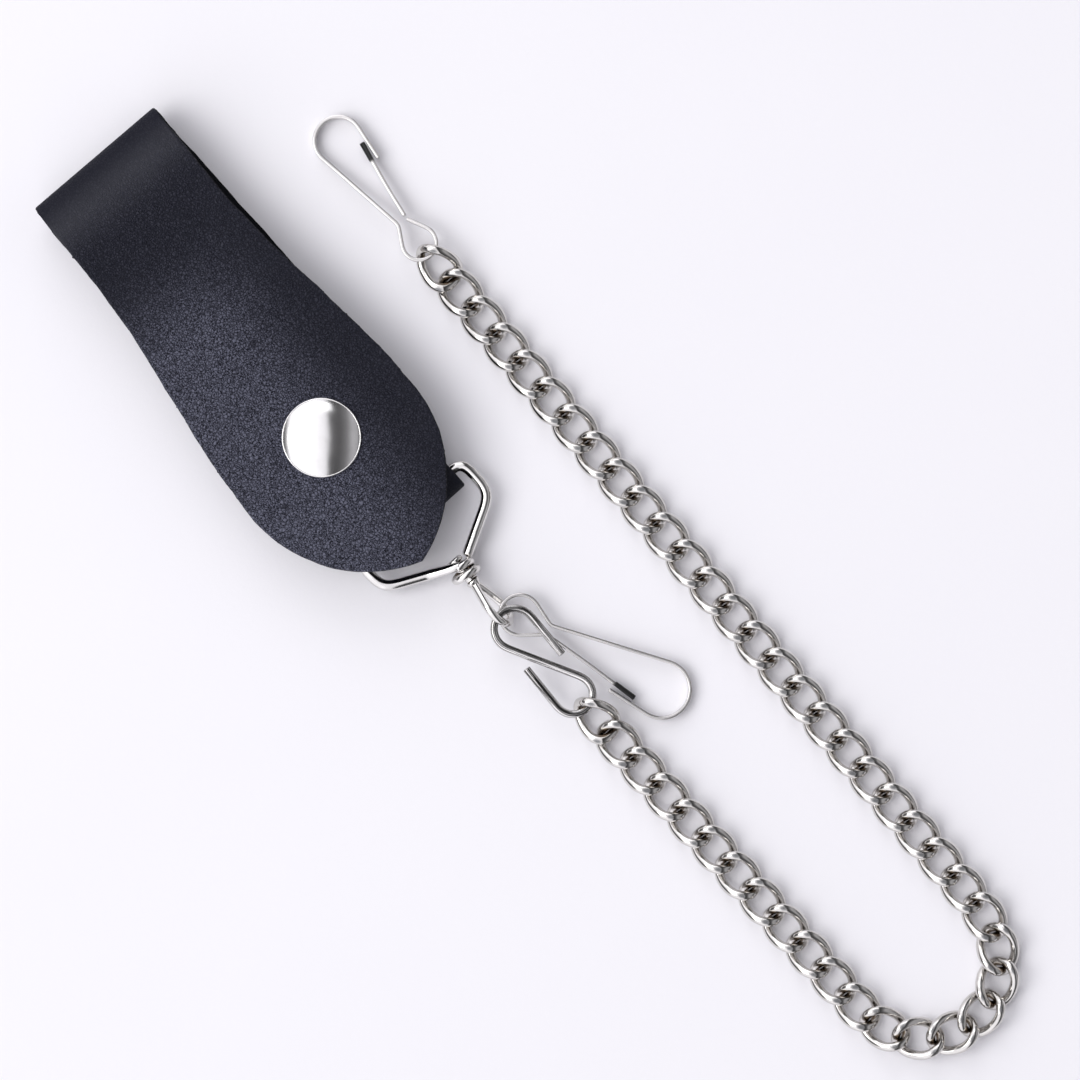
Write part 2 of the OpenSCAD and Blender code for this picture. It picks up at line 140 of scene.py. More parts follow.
class Graph:
    """The node graph of one material, with its Principled shader."""

    def __init__(self, name: str) -> None:
        """Starts a material.

        Args:
            name: The material's name.
        """
        self.material = bpy.data.materials.new(name)
        self.material.use_nodes = True
        self.tree = self.material.node_tree
        self.tree.nodes.clear()
        self.out = self.add("ShaderNodeOutputMaterial", {}, {})
        self.shader = self.add("ShaderNodeBsdfPrincipled", {}, {})
        self.tree.links.new(self.shader.outputs[0], self.out.inputs["Surface"])

    def add(self, kind: str, settings: dict[str, Any], inputs: dict[Any, Any]) -> Any:
        """Adds any node.

        Args:
            kind: The node's type.
            settings: Properties to set first; "stops" fills a colour ramp.
            inputs: A value, a socket or a Signal for each input, by name or index.

        Returns:
            The node.
        """
        node = self.tree.nodes.new(kind)
        for key, value in settings.items():
            if key == "stops":
                ramp = node.color_ramp
                while len(ramp.elements) < len(value):
                    ramp.elements.new(0.5)
                for element, (place, colour) in zip(ramp.elements, value):
                    element.position = place
                    element.color = colour
            else:
                setattr(node, key, value)
        for key, value in inputs.items():
            self._feed(node.inputs[key], value)
        return node

    def _feed(self, socket: Any, value: Any) -> None:
        """Gives an input its value, or links it to a socket or a Signal."""
        plain = value.source if isinstance(value, Signal) else value
        if isinstance(plain, bpy.types.NodeSocket):
            self.tree.links.new(plain, socket)
        else:
            socket.default_value = plain

    def attribute(self, name: str) -> Signal:
        """Reads a number that a piece carries at its vertices."""
        made = self.add("ShaderNodeAttribute", {"attribute_name": name}, {})
        return Signal(self, made.outputs["Fac"])

    def place(self, scale: Triple = (1.0, 1.0, 1.0), uv: bool = False) -> Any:
        """Coordinates for a pattern, in millimetres times scale.

        Args:
            scale: Stretch along each axis.
            uv: Whether to follow the piece's own surface instead of its object space.

        Returns:
            A vector socket.
        """
        source = (
            self.add("ShaderNodeUVMap", {"uv_map": "Surface"}, {}).outputs[0]
            if uv
            else self.add("ShaderNodeTexCoord", {}, {}).outputs["Object"]
        )
        per_unit = UV_SPAN if uv else 1.0 / MM
        stretch = tuple(per_unit * s for s in scale)
        return self.add("ShaderNodeMapping", {}, {"Vector": source, "Scale": stretch}).outputs[0]

    def noise(self, where: Any, scale: float, detail: float = 3.0, rough: float = 0.5) -> Signal:
        """Soft noise.

        Args:
            where: A vector socket.
            scale: How fine it is.
            detail: Number of octaves.
            rough: Share of the finer octaves.

        Returns:
            The noise, about 0 to 1.
        """
        inputs = {"Vector": where, "Scale": scale, "Detail": detail, "Roughness": rough}
        return Signal(self, self.add("ShaderNodeTexNoise", {}, inputs).outputs["Fac"])

    def cells(self, where: Any, scale: float) -> Signal:
        """Irregular cell pattern.

        Args:
            where: A vector socket.
            scale: How fine it is.

        Returns:
            The distance to the nearest edge between two cells.
        """
        inputs = {"Vector": where, "Scale": scale, "Randomness": 1.0}
        made = self.add("ShaderNodeTexVoronoi", {"feature": "DISTANCE_TO_EDGE"}, inputs)
        return Signal(self, made.outputs["Distance"])

    def mix(self, share: Any, first: Any, second: Any) -> Any:
        """Mixes two colours.

        Args:
            share: 0 for the first colour, 1 for the second.
            first: A colour or socket.
            second: A colour or socket.

        Returns:
            A colour socket.
        """
        made = self.add("ShaderNodeMix", {"data_type": "RGBA"}, {0: share, 6: first, 7: second})
        return made.outputs[2]

    def bump(self, height: Signal, distance: float, strength: float, under: Any = None) -> Any:
        """Turns a height into a normal.

        Args:
            height: The height, 0 to 1.
            distance: What a height of 1 stands for, in millimetres.
            strength: How strongly it shows.
            under: A normal from another Bump node to add this one to.

        Returns:
            A normal socket.
        """
        inputs = {"Height": height, "Distance": distance * MM, "Strength": strength}
        if under is not None:
            inputs["Normal"] = under
        return self.add("ShaderNodeBump", {}, inputs).outputs["Normal"]

    def finish(self, colour: Any, rough: Any, normal: Any = None, **fixed: Any) -> bpy.types.Material:
        """Connects the shader.

        Args:
            colour: Base colour.
            rough: Roughness.
            normal: Normal socket, if any.
            **fixed: Values for other sockets, with underscores for spaces.

        Returns:
            The material.
        """
        wanted = {"Base Color": colour, "Roughness": rough}
        if normal is not None:
            wanted["Normal"] = normal
        wanted.update({key.replace("_", " "): value for key, value in fixed.items()})
        for key, value in wanted.items():
            self._feed(self.shader.inputs[key], value)
        return self.material


# ---- Finishes ----


def grey(value: float, warm: float = 0.0) -> Colour:
    """A grey with a little warmth (positive) or coolness (negative)."""
    return (value * (1 + warm), value, value * (1 - warm), 1.0)


@dataclass(frozen=True)
class BlackLeather:
    """Dyed vegetable-tanned leather: pebbled grain side, napped flesh side and raw cut edges.

    Attributes:
        grain: Size of a pebble, in millimetres.
        painted_light_ramp: Places along the strap between which painted light on the pebble tops grows, in
            millimetres.
        lean: Fall of that painted light for each millimetre across the strap.
    """

    name: str = "black_leather"
    grain: float = 0.52
    painted_light_ramp: tuple[float, float] = (-99.0, -76.0)
    lean: float = -0.05
    tone: Colour = (0.0020, 0.0024, 0.0085, 1.0)
    # Lighter colour of rubbed pebble tops. It also carries painted glints, painted light on the lit side
    # and a painted sheen at the fold.
    worn_and_lit: Colour = (0.1280, 0.1320, 0.1800, 1.0)
    raw: Colour = (0.004, 0.004, 0.006, 1.0)
    flesh: Colour = (0.008, 0.008, 0.011, 1.0)

    def split(self, g: Graph) -> tuple[Signal, Signal]:
        """Place along and across the strap, in millimetres, in the part's frame."""
        apart = g.add("ShaderNodeSeparateXYZ", {}, {"Vector": g.place()})
        return Signal(g, apart.outputs["X"]), Signal(g, apart.outputs["Y"])

    def make(self) -> bpy.types.Material:
        """Builds the material.

        Returns:
            The leather.
        """
        g = Graph(self.name)
        surface = g.place(uv=True)
        wander = g.add("ShaderNodeTexNoise", {}, {"Vector": surface, "Scale": 1.1, "Detail": 3.0})
        bent = g.add(
            "ShaderNodeVectorMath",
            {"operation": "MULTIPLY_ADD"},
            {0: wander.outputs["Color"], 1: (0.8, 0.8, 0.0), 2: surface},
        ).outputs[0]
        pebble = g.cells(bent, 1.0 / self.grain).step(0.0, 0.3)
        fine = g.cells(bent, 2.3 / self.grain).step(0.0, 0.3)
        pores = g.noise(surface, 4.2, 2.0)
        broad = g.noise(surface, 0.055, 3.0)
        stretched = g.attribute("stretch")
        edge = g.attribute("edge")
        flesh = g.attribute("flesh")
        depth = (1.0 - stretched * 0.75) * (0.5 + broad * 0.9)
        height = (pebble * 0.6 + fine * 0.25 + pores * 0.55) * depth
        nap = g.noise(g.place(), 4.0, 4.0, 0.7)
        rough_part = edge + flesh
        mixed = height * (1.0 - rough_part) + nap * rough_part * 1.6
        rolling = g.bump(g.noise(surface, 0.07, 2.0), 1.1, 1.0)
        normal = g.bump(mixed, 0.2, 1.0, rolling)
        swirl = g.noise(bent, 2.5, 3.0) * 2.0 - 1.0
        crease = (1.0 - swirl * swirl * 14.0).step(0.0, 1.0)
        along, across = self.split(g)
        # Painted light: the pebble tops lighten past a ramp along the strap, and more towards its −Y side,
        # where the light comes from.
        painted_light_ramp = along.step(*self.painted_light_ramp) * (across * self.lean + 0.12).step(0.0, 1.1)
        # band rings the fold. Its share in the colour below is a painted sheen; the coat it drives is
        # shader gloss.
        band = stretched * (1.0 - stretched) * 4.0
        # Pebble tops: lighter from rubbing, and lighter still as painted glints.
        crown = (pebble * 0.42 + crease * 0.42 + pores * 0.3).step(0.42, 0.9)
        amount = 0.1 + broad * 0.12 + painted_light_ramp * 0.95
        wear_and_light = crown * amount * (1.0 - stretched * 0.9) + band * 0.05
        # Painted light: rubbed wear on the pebble tops, mixed with painted glints, painted light towards
        # the lit side and a painted sheen round the fold.
        colour = g.mix(wear_and_light, self.tone, self.worn_and_lit)
        colour = g.mix(flesh, colour, self.flesh)
        colour = g.mix(edge, colour, self.raw)
        rough = 0.31 + pores * 0.1 + (1.0 - pebble) * 0.16
        rough = rough + rough_part * 0.5 + (stretched - band) * 0.25
        coat = band * 0.2 * (1.0 - rough_part)
        shine = {"Coat_Weight": coat, "Coat_Roughness": 0.3, "Specular_IOR_Level": 0.2}
        return g.finish(colour, rough, normal, **shine)


@dataclass(frozen=True)
class NickelPlate:
    """Bright nickel plate with faint handling marks, painted shade in the recesses with a warm tarnish
    tint, and ground flats painted darker as a painted reflection.
    """

    name: str = "nickel_plate"
    bright: Colour = (0.68, 0.662, 0.635, 1.0)
    # Warm dark colour of the painted shade in the hollows, tinted like tarnish.
    tarnish_shade: Colour = (0.13, 0.095, 0.062, 1.0)
    polish: float = 0.07
    marks: float = 0.25

    def make(self) -> bpy.types.Material:
        """Builds the material.

        Returns:
            The plated metal.
        """
        g = Graph(self.name)
        where = g.place()
        cloud = g.noise(where, 0.35, 3.0)
        fleck = g.noise(where, 3.2, 4.0, 0.65)
        ripple = g.noise(where, 1.1, 2.0)
        # Painted shade in the hollows, where the neighbours bear and inside the coil, mixed to a warm
        # tarnish tint below.
        recess = (g.attribute("recess") * (0.75 + fleck * 0.5)).step(0.1, 1.0)
        ground = g.attribute("ground")
        scratch = g.noise(g.place((1.0, 14.0, 1.0)), 1.6, 2.0)
        tint = g.mix(cloud.step(0.35, 0.75) * 0.35, self.bright, grey(0.5, 0.03))
        colour = g.mix(recess, tint, self.tarnish_shade)
        # Ground flats painted dark grey as a painted reflection; their satin grind is the added roughness.
        colour = g.mix(ground, colour, grey(0.21, -0.01))
        rough = self.polish + cloud * 0.06 + recess * 0.14 + ground * 0.2
        height = ripple * 0.5 + fleck * 0.12 + scratch * (0.08 + ground * 0.5)
        normal = g.bump(height, 0.05, self.marks)
        return g.finish(colour, rough, normal, Metallic=1.0)


@dataclass(frozen=True)
class PolishedCap:
    """Stamped and polished nickel dome, with spun polishing rings and a hazy film."""

    name: str = "polished_cap"

    def make(self) -> bpy.types.Material:
        """Builds the material.

        Returns:
            The polished metal.
        """
        g = Graph(self.name)
        where = g.place()
        rings = g.noise(g.place((6.0, 0.35, 1.0), uv=True), 1.0, 3.0)
        haze = g.noise(where, 0.32, 4.0, 0.6)
        specks = g.noise(where, 4.5, 3.0, 0.7).step(0.66, 0.8)
        colour = g.mix(haze.step(0.4, 0.7) * 0.5, grey(0.86, 0.012), grey(0.74, 0.02))
        colour = g.mix(specks * 0.35, colour, grey(0.4, 0.05))
        rough = 0.13 + haze * 0.12 + specks * 0.1
        normal = g.bump(haze * 0.7 + rings * 0.1 + specks * 0.1, 0.06, 0.35)
        return g.finish(colour, rough, normal, Metallic=1.0)


@dataclass(frozen=True)
class DrawnWire:
    """Nickel-plated wire with lengthwise bands that follow the wire: drawing lines, and dark and light
    painted reflections.
    """

    name: str = "drawn_wire"
    light: float = 0.76
    dark: float = 0.06

    def make(self) -> bpy.types.Material:
        """Builds the material.

        Returns:
            The wire's finish.
        """
        g = Graph(self.name)
        along = g.place((0.03, 2.3, 1.0), uv=True)
        lines = g.noise(along, 1.5, 4.0, 0.7)
        fine = g.noise(g.place((0.08, 9.0, 1.0), uv=True), 1.4, 2.0)
        cloud = g.noise(g.place(), 0.4, 3.0)
        # Lengthwise bands: drawing lines, together with dark and light painted reflections along the wire.
        line_and_reflection = (lines * 0.8 + fine * 0.2).step(0.45, 0.54)
        colour = g.mix(line_and_reflection, grey(self.dark, 0.03), grey(self.light, 0.02))
        rough = 0.1 + (1.0 - line_and_reflection) * 0.12 + cloud * 0.06
        normal = g.bump(line_and_reflection * 0.6 + fine * 0.3, 0.05, 0.45)
        return g.finish(colour, rough, normal, Metallic=1.0)


@dataclass(frozen=True)
class SpringStrip:
    """Flat rolled spring strip, plated: satin broad faces and brighter edges, with painted shadow, nearly
    black, where the strip is marked.
    """

    name: str = "spring_strip"

    def make(self) -> bpy.types.Material:
        """Builds the material.

        Returns:
            The strip's finish.
        """
        g = Graph(self.name)
        roll = g.noise(g.place((0.05, 3.5, 1.0), uv=True), 1.3, 3.0)
        cloud = g.noise(g.place(), 0.5, 3.0)
        # Painted shadow: where marked, the strip is coloured nearly black for the shade under the clip's
        # keeper.
        dark = g.attribute("recess")
        colour = g.mix(roll.step(0.35, 0.7), grey(0.55, 0.02), grey(0.8, 0.03))
        colour = g.mix(dark, colour, grey(0.035))
        rough = 0.13 + cloud * 0.1 + dark * 0.3
        normal = g.bump(roll * 0.5 + cloud * 0.4, 0.04, 0.4)
        return g.finish(colour, rough, normal, Metallic=1.0)


@dataclass(frozen=True)
class Paper:
    """The pale floor: smooth white card with a faint tooth."""

    name: str = "white_card"

    def make(self) -> bpy.types.Material:
        """Builds the material.

        Returns:
            The card.
        """
        g = Graph(self.name)
        where = g.place()
        tooth = g.noise(where, 0.9, 4.0, 0.6)
        broad = g.noise(where, 0.012, 2.0)
        colour = g.mix(broad, (0.88, 0.87, 0.905, 1.0), (0.91, 0.90, 0.925, 1.0))
        normal = g.bump(tooth, 0.12, 0.25)
        return g.finish(colour, 0.7 + tooth * 0.1, normal, Specular_IOR_Level=0.2)


class Finish(Enum):
    """The finishes in use, each made once."""

    LEATHER = BlackLeather()
    NICKEL = NickelPlate()
    CAST = NickelPlate(name="nickel_ring", bright=(0.77, 0.755, 0.735, 1.0), polish=0.07, marks=0.25)
    CAP = PolishedCap()
    WIRE = DrawnWire()
    STRIP = SpringStrip()
    CARD = Paper()

    def material(self) -> bpy.types.Material:
        """The material, made the first time it is asked for."""
        found = bpy.data.materials.get(self.value.name)
        return found or self.value.make()


# ---- Surfaces ----


@dataclass
class Skin:
    """A surface worked out on a grid of rings and columns.

    Attributes:
        points: Positions in millimetres, rings by columns by 3.
        loop_rings: Whether the last ring joins the first.
        surface: Distance along and round the surface in millimetres, one more column than points.
        marks: Numbers that a finish reads, by name, in a shape that spreads over rings by columns.
    """

    points: Array
    loop_rings: bool = False
    surface: Array | None = None
    marks: dict[str, Array] = field(default_factory=dict)

    def moved(self, turn: Array, shift: Array) -> "Skin":
        """The same surface turned by a 3 by 3 matrix and then shifted."""
        return Skin(self.points @ turn.T + shift, self.loop_rings, self.surface, self.marks)

    def box(self) -> tuple[Array, Array]:
        """Lowest and highest corners."""
        flat = self.points.reshape(-1, 3)
        return flat.min(axis=0), flat.max(axis=0)


def unit(v: Array) -> Array:
    """Vectors scaled to length 1 along the last axis."""
    return v / np.linalg.norm(v, axis=-1, keepdims=True)


def tangents(path: Array, closed: bool) -> Array:
    """Directions along a path: the step from the point before to the point after.

    Args:
        path: Points, n by 3.
        closed: Whether the path joins up.

    Returns:
        Unit vectors, n by 3.
    """
    if closed:
        return unit(np.roll(path, -1, axis=0) - np.roll(path, 1, axis=0))
    return unit(np.gradient(path, axis=0))


def lengths(path: Array) -> Array:
    """Distance from the start of a path to each of its points."""
    return np.concatenate([[0.0], np.cumsum(np.linalg.norm(np.diff(path, axis=0), axis=1))])


def resampled(path: Array, step: float) -> Array:
    """A path with its points a given distance apart, by straight interpolation on its length."""
    s = lengths(path)
    n = max(2, int(round(s[-1] / step)) + 1)
    at = np.linspace(0.0, s[-1], n)
    return np.stack([np.interp(at, s, path[:, k]) for k in range(path.shape[1])], axis=1)


def softened(path: Array, width: int, rounds: int = 2) -> Array:
    """A path whose inner points are running means of their neighbours, with both ends kept.

    Args:
        path: Points, n by d.
        width: Half width of the mean, in points.
        rounds: How often it is taken.

    Returns:
        Points, n by d.
    """
    kernel = np.ones(2 * width + 1) / (2 * width + 1)
    for _ in range(rounds):
        first = 2 * path[:1] - path[width:0:-1]
        last = 2 * path[-1:] - path[-2 : -width - 2 : -1]
        padded = np.concatenate([first, path, last])
        path = np.stack([np.convolve(column, kernel, "valid") for column in padded.T], axis=1)
    return path


def flat_path(line: Array) -> Array:
    """A plane line, n by 2, as a path at height 0."""
    return np.concatenate([line, np.zeros((len(line), 1))], axis=1)


def arc(radius: float, angles: Array) -> Array:
    """Points (r cos a, r sin a) for each angle a, in radians."""
    return radius * np.stack([np.cos(angles), np.sin(angles)], axis=1)


def circle(radius: float, sides: int) -> Array:
    """Outline of a round wire, all round."""
    return arc(radius, np.linspace(0, 2 * np.pi, sides, endpoint=False))


def soft_rectangle(half_x: float, half_y: float, radius: float, steps: int = 4, run: int = 3) -> Array:
    """Outline of a rectangle with rounded corners, counter-clockwise.

    Each corner is a quarter circle of the radius about the corner's own centre, and each side between
    two corners carries a few points of its own.
    """
    a = np.linspace(0, np.pi / 2, steps + 1)
    signs = np.array([[1, 1], [-1, 1], [-1, -1], [1, -1]], float)
    centres = signs * np.array([half_x - radius, half_y - radius])
    turned = a[None, :] + np.arange(4)[:, None] * np.pi / 2
    corners = centres[:, None, :] + radius * np.stack([np.cos(turned), np.sin(turned)], axis=2)
    ends = np.roll(corners[:, 0, :], -1, axis=0)
    t = (np.arange(1, run + 1) / (run + 1))[None, :, None]
    sides = corners[:, -1, None, :] * (1 - t) + ends[:, None, :] * t
    return np.concatenate([corners, sides], axis=1).reshape(-1, 2)


def sweep(path: Array, ref: Array, outline: Array, closed: bool = False) -> Skin:
    """Carries an outline along a path.

    With t the direction along the path, across = ref x t and up = t x across, both of length 1, the
    surface is p + x across + y up for each point (x, y) of the outline, which may differ from ring
    to ring.

    Args:
        path: Points, n by 3.
        ref: One reference vector, or one for each point.
        outline: k by 2, or n by k by 2.
        closed: Whether the path joins up.

    Returns:
        The surface.
    """
    t = tangents(path, closed)
    across = unit(np.cross(np.broadcast_to(ref, path.shape), t))
    up = np.cross(t, across)
    shape = outline if outline.ndim == 3 else np.broadcast_to(outline, (len(path),) + outline.shape)
    points = path[:, None, :] + shape[..., :1] * across[:, None, :]
    points = points + shape[..., 1:] * up[:, None, :]
    s = lengths(np.concatenate([path, path[:1]])) if closed else lengths(path)
    girth = lengths(np.concatenate([shape[0], shape[0][:1]]))
    surface = np.stack(np.meshgrid(s, girth, indexing="ij"), axis=2)
    return Skin(points, closed, surface)


def with_ends(path: Array, outline: Array, soft: float, steps: int = 4) -> tuple[Array, Array]:
    """Adds rings at both ends of an open path so that the outline closes in a rounded edge.

    The outline shrinks by soft (1 - cos a) while the path runs on by soft sin a, for a from 0 to 90
    degrees, seen from the full section.

    Args:
        path: Points, n by 3.
        outline: k by 2.
        soft: Radius of the rounded edge.
        steps: Rings in the rounding.

    Returns:
        The longer path and an outline for each of its points.
    """
    reach = np.abs(outline).max(axis=0)
    a = np.linspace(0, np.pi / 2, steps + 1)
    run = soft * np.sin(a)
    shrink = 1 - np.minimum(soft * (1 - np.cos(a)), reach.min() * 0.98)[:, None] / reach[None, :]
    first, last = unit(path[0] - path[1]), unit(path[-1] - path[-2])
    head = path[0] + (run - soft)[::-1][:, None] * first
    tail = path[-1] + (run - soft)[:, None] * last
    inner = path[(lengths(path) > soft * 1.05) & (lengths(path) < lengths(path)[-1] - soft * 1.05)]
    whole = np.concatenate([head, inner, tail])
    size = np.concatenate([shrink[::-1], np.ones((len(inner), 2)), shrink])
    return whole, outline[None, :, :] * size[:, None, :]


def lathe(profile: Array, sides: int, centre: Array, axis: Array) -> Skin:
    """Turns a closed profile about an axis.

    A profile point (r, h) goes to centre + h axis + r (cos a e1 + sin a e2), for a all round, with e1
    and e2 square to the axis.

    Args:
        profile: Points (radius, height) round the whole section, n by 2.
        sides: Steps in the full turn.
        centre: The origin of the profile.
        axis: The axis, of length 1.

    Returns:
        The surface, whose rings are the turn's steps.
    """
    away = X_AXIS if abs(axis[2]) >= 0.9 else np.array([0.31, 0.17, 0.93])
    e1 = unit(np.cross(axis, away))
    e2 = np.cross(axis, e1)
    a = np.linspace(0, 2 * np.pi, sides, endpoint=False)
    ring = np.cos(a)[:, None] * e1 + np.sin(a)[:, None] * e2
    points = centre + profile[None, :, 1:] * axis + profile[None, :, :1] * ring[:, None, :]
    along = lengths(np.concatenate([profile, profile[:1]]))
    turn = np.linspace(0, 2 * np.pi, sides + 1) * profile[:, 0].max()
    surface = np.stack(np.meshgrid(turn, along, indexing="ij"), axis=2)[..., ::-1]
    return Skin(points, True, surface)


def frame_of(x: Array, z: Array) -> Array:
    """The 3 by 3 matrix whose columns are x, z x x and z made square and of length 1."""
    x = unit(x)
    z = unit(z - (z @ x) * x)
    return np.stack([x, np.cross(z, x), z], axis=1)


def turn_z(degrees: float) -> Array:
    """Rotation about Z."""
    c, s = math.cos(math.radians(degrees)), math.sin(math.radians(degrees))
    return np.array([[c, -s, 0.0], [s, c, 0.0], [0.0, 0.0, 1.0]])


def turn_y(degrees: float) -> Array:
    """Rotation about Y."""
    c, s = math.cos(math.radians(degrees)), math.sin(math.radians(degrees))
    return np.array([[c, 0.0, s], [0.0, 1.0, 0.0], [-s, 0.0, c]])


def turn_x(degrees: float) -> Array:
    """Rotation about X."""
    c, s = math.cos(math.radians(degrees)), math.sin(math.radians(degrees))
    return np.array([[1.0, 0.0, 0.0], [0.0, c, -s], [0.0, s, c]])


def node_box(node: str) -> tuple[Array, Array]:
    """A CAD node's lowest and highest corners, in millimetres."""
    low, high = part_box(node)
    return np.array(low) / MM, np.array(high) / MM


def joint(name: str) -> tuple[Array, Array]:
    """A joint's place in millimetres and its axis."""
    found = next(j for j in frame["joints"] if j["name"] == name)
    return np.array(found["pos_m"]) / MM, np.array(found["axis"], float)


def seated(skins: list[Skin], node: str) -> list[Skin]:
    """Surfaces shifted together so that their box is centred on the CAD node's box."""
    boxes = [skin.box() for skin in skins]
    low = np.min([b[0] for b in boxes], axis=0)
    high = np.max([b[1] for b in boxes], axis=0)
    goal_low, goal_high = node_box(node)
    shift = (goal_low + goal_high - low - high) / 2
    return [skin.moved(np.eye(3), shift) for skin in skins]


def make_piece(name: str, skins: list[Skin], finish: Finish) -> bpy.types.Object:
    """Writes surfaces into one mesh object at the origin.

    Every column wraps round. Rings wrap when the surface says so, and otherwise both ends are closed
    with one face each.

    Args:
        name: The object's name.
        skins: The surfaces.
        finish: The finish.

    Returns:
        The object.
    """
    verts: list[Array] = []
    quads: list[Array] = []
    caps: list[list[int]] = []
    uvs: list[Array] = []
    marks: dict[str, list[Array]] = {}
    names = sorted({key for skin in skins for key in skin.marks})
    start = 0
    for skin in skins:
        m, n = skin.points.shape[:2]
        rows = m if skin.loop_rings else m - 1
        i, j = np.meshgrid(np.arange(rows), np.arange(n), indexing="ij")
        i2, j2 = (i + 1) % m, (j + 1) % n
        around = [i * n + j, i * n + j2, i2 * n + j2, i2 * n + j]
        quads.append(start + np.stack(around, axis=2).reshape(-1, 4))
        s = skin.surface
        corner = np.stack([s[i, j], s[i, j + 1], s[i + 1, j + 1], s[i + 1, j]], axis=2)
        uvs.append(corner.reshape(-1, 2))
        if not skin.loop_rings:
            caps.append((start + np.arange(n)[::-1]).tolist())
            caps.append((start + (m - 1) * n + np.arange(n)).tolist())
        verts.append(skin.points.reshape(-1, 3))
        for key in names:
            given = skin.marks.get(key, np.zeros((m, n)))
            marks.setdefault(key, []).append(np.broadcast_to(given, (m, n)).reshape(-1))
        start += m * n
    mesh = bpy.data.meshes.new(name)
    faces = np.concatenate(quads).tolist() + caps
    mesh.from_pydata((np.concatenate(verts) * MM).tolist(), [], faces)
    layer = mesh.uv_layers.new(name="Surface")
    flat = np.concatenate(uvs + [np.zeros((sum(map(len, caps)), 2))]) / UV_SPAN
    layer.data.foreach_set("uv", flat.astype(np.float32).ravel())
    for key in names:
        attribute = mesh.attributes.new(key, "FLOAT", "POINT")
        attribute.data.foreach_set("value", np.concatenate(marks[key]).astype(np.float32))
    mesh.polygons.foreach_set("use_smooth", np.ones(len(mesh.polygons), bool))
    work = bmesh.new()
    work.from_mesh(mesh)
    bmesh.ops.remove_doubles(work, verts=work.verts, dist=WELD)
    bmesh.ops.recalc_face_normals(work, faces=work.faces)
    work.to_mesh(mesh)
    work.free()
    mesh.materials.append(finish.material())
    piece = bpy.data.objects.new(name, mesh)
    bpy.context.scene.collection.objects.link(piece)
    return piece


def waves(s: Array, seed: int, longest: float, count: int) -> Array:
    """A repeatable wavy line: a sum of sines, each 1.83 times finer and 0.62 times as high as the last."""
    rng = np.random.default_rng(seed)
    k = np.arange(count)
    phase = rng.uniform(0, 2 * np.pi, count)
    size = 0.62**k
    swing = np.sin(2 * np.pi * s[..., None] / longest * 1.83**k + phase)
    return (size * swing).sum(axis=-1) / size.sum()


# ---- The leather belt loop ----


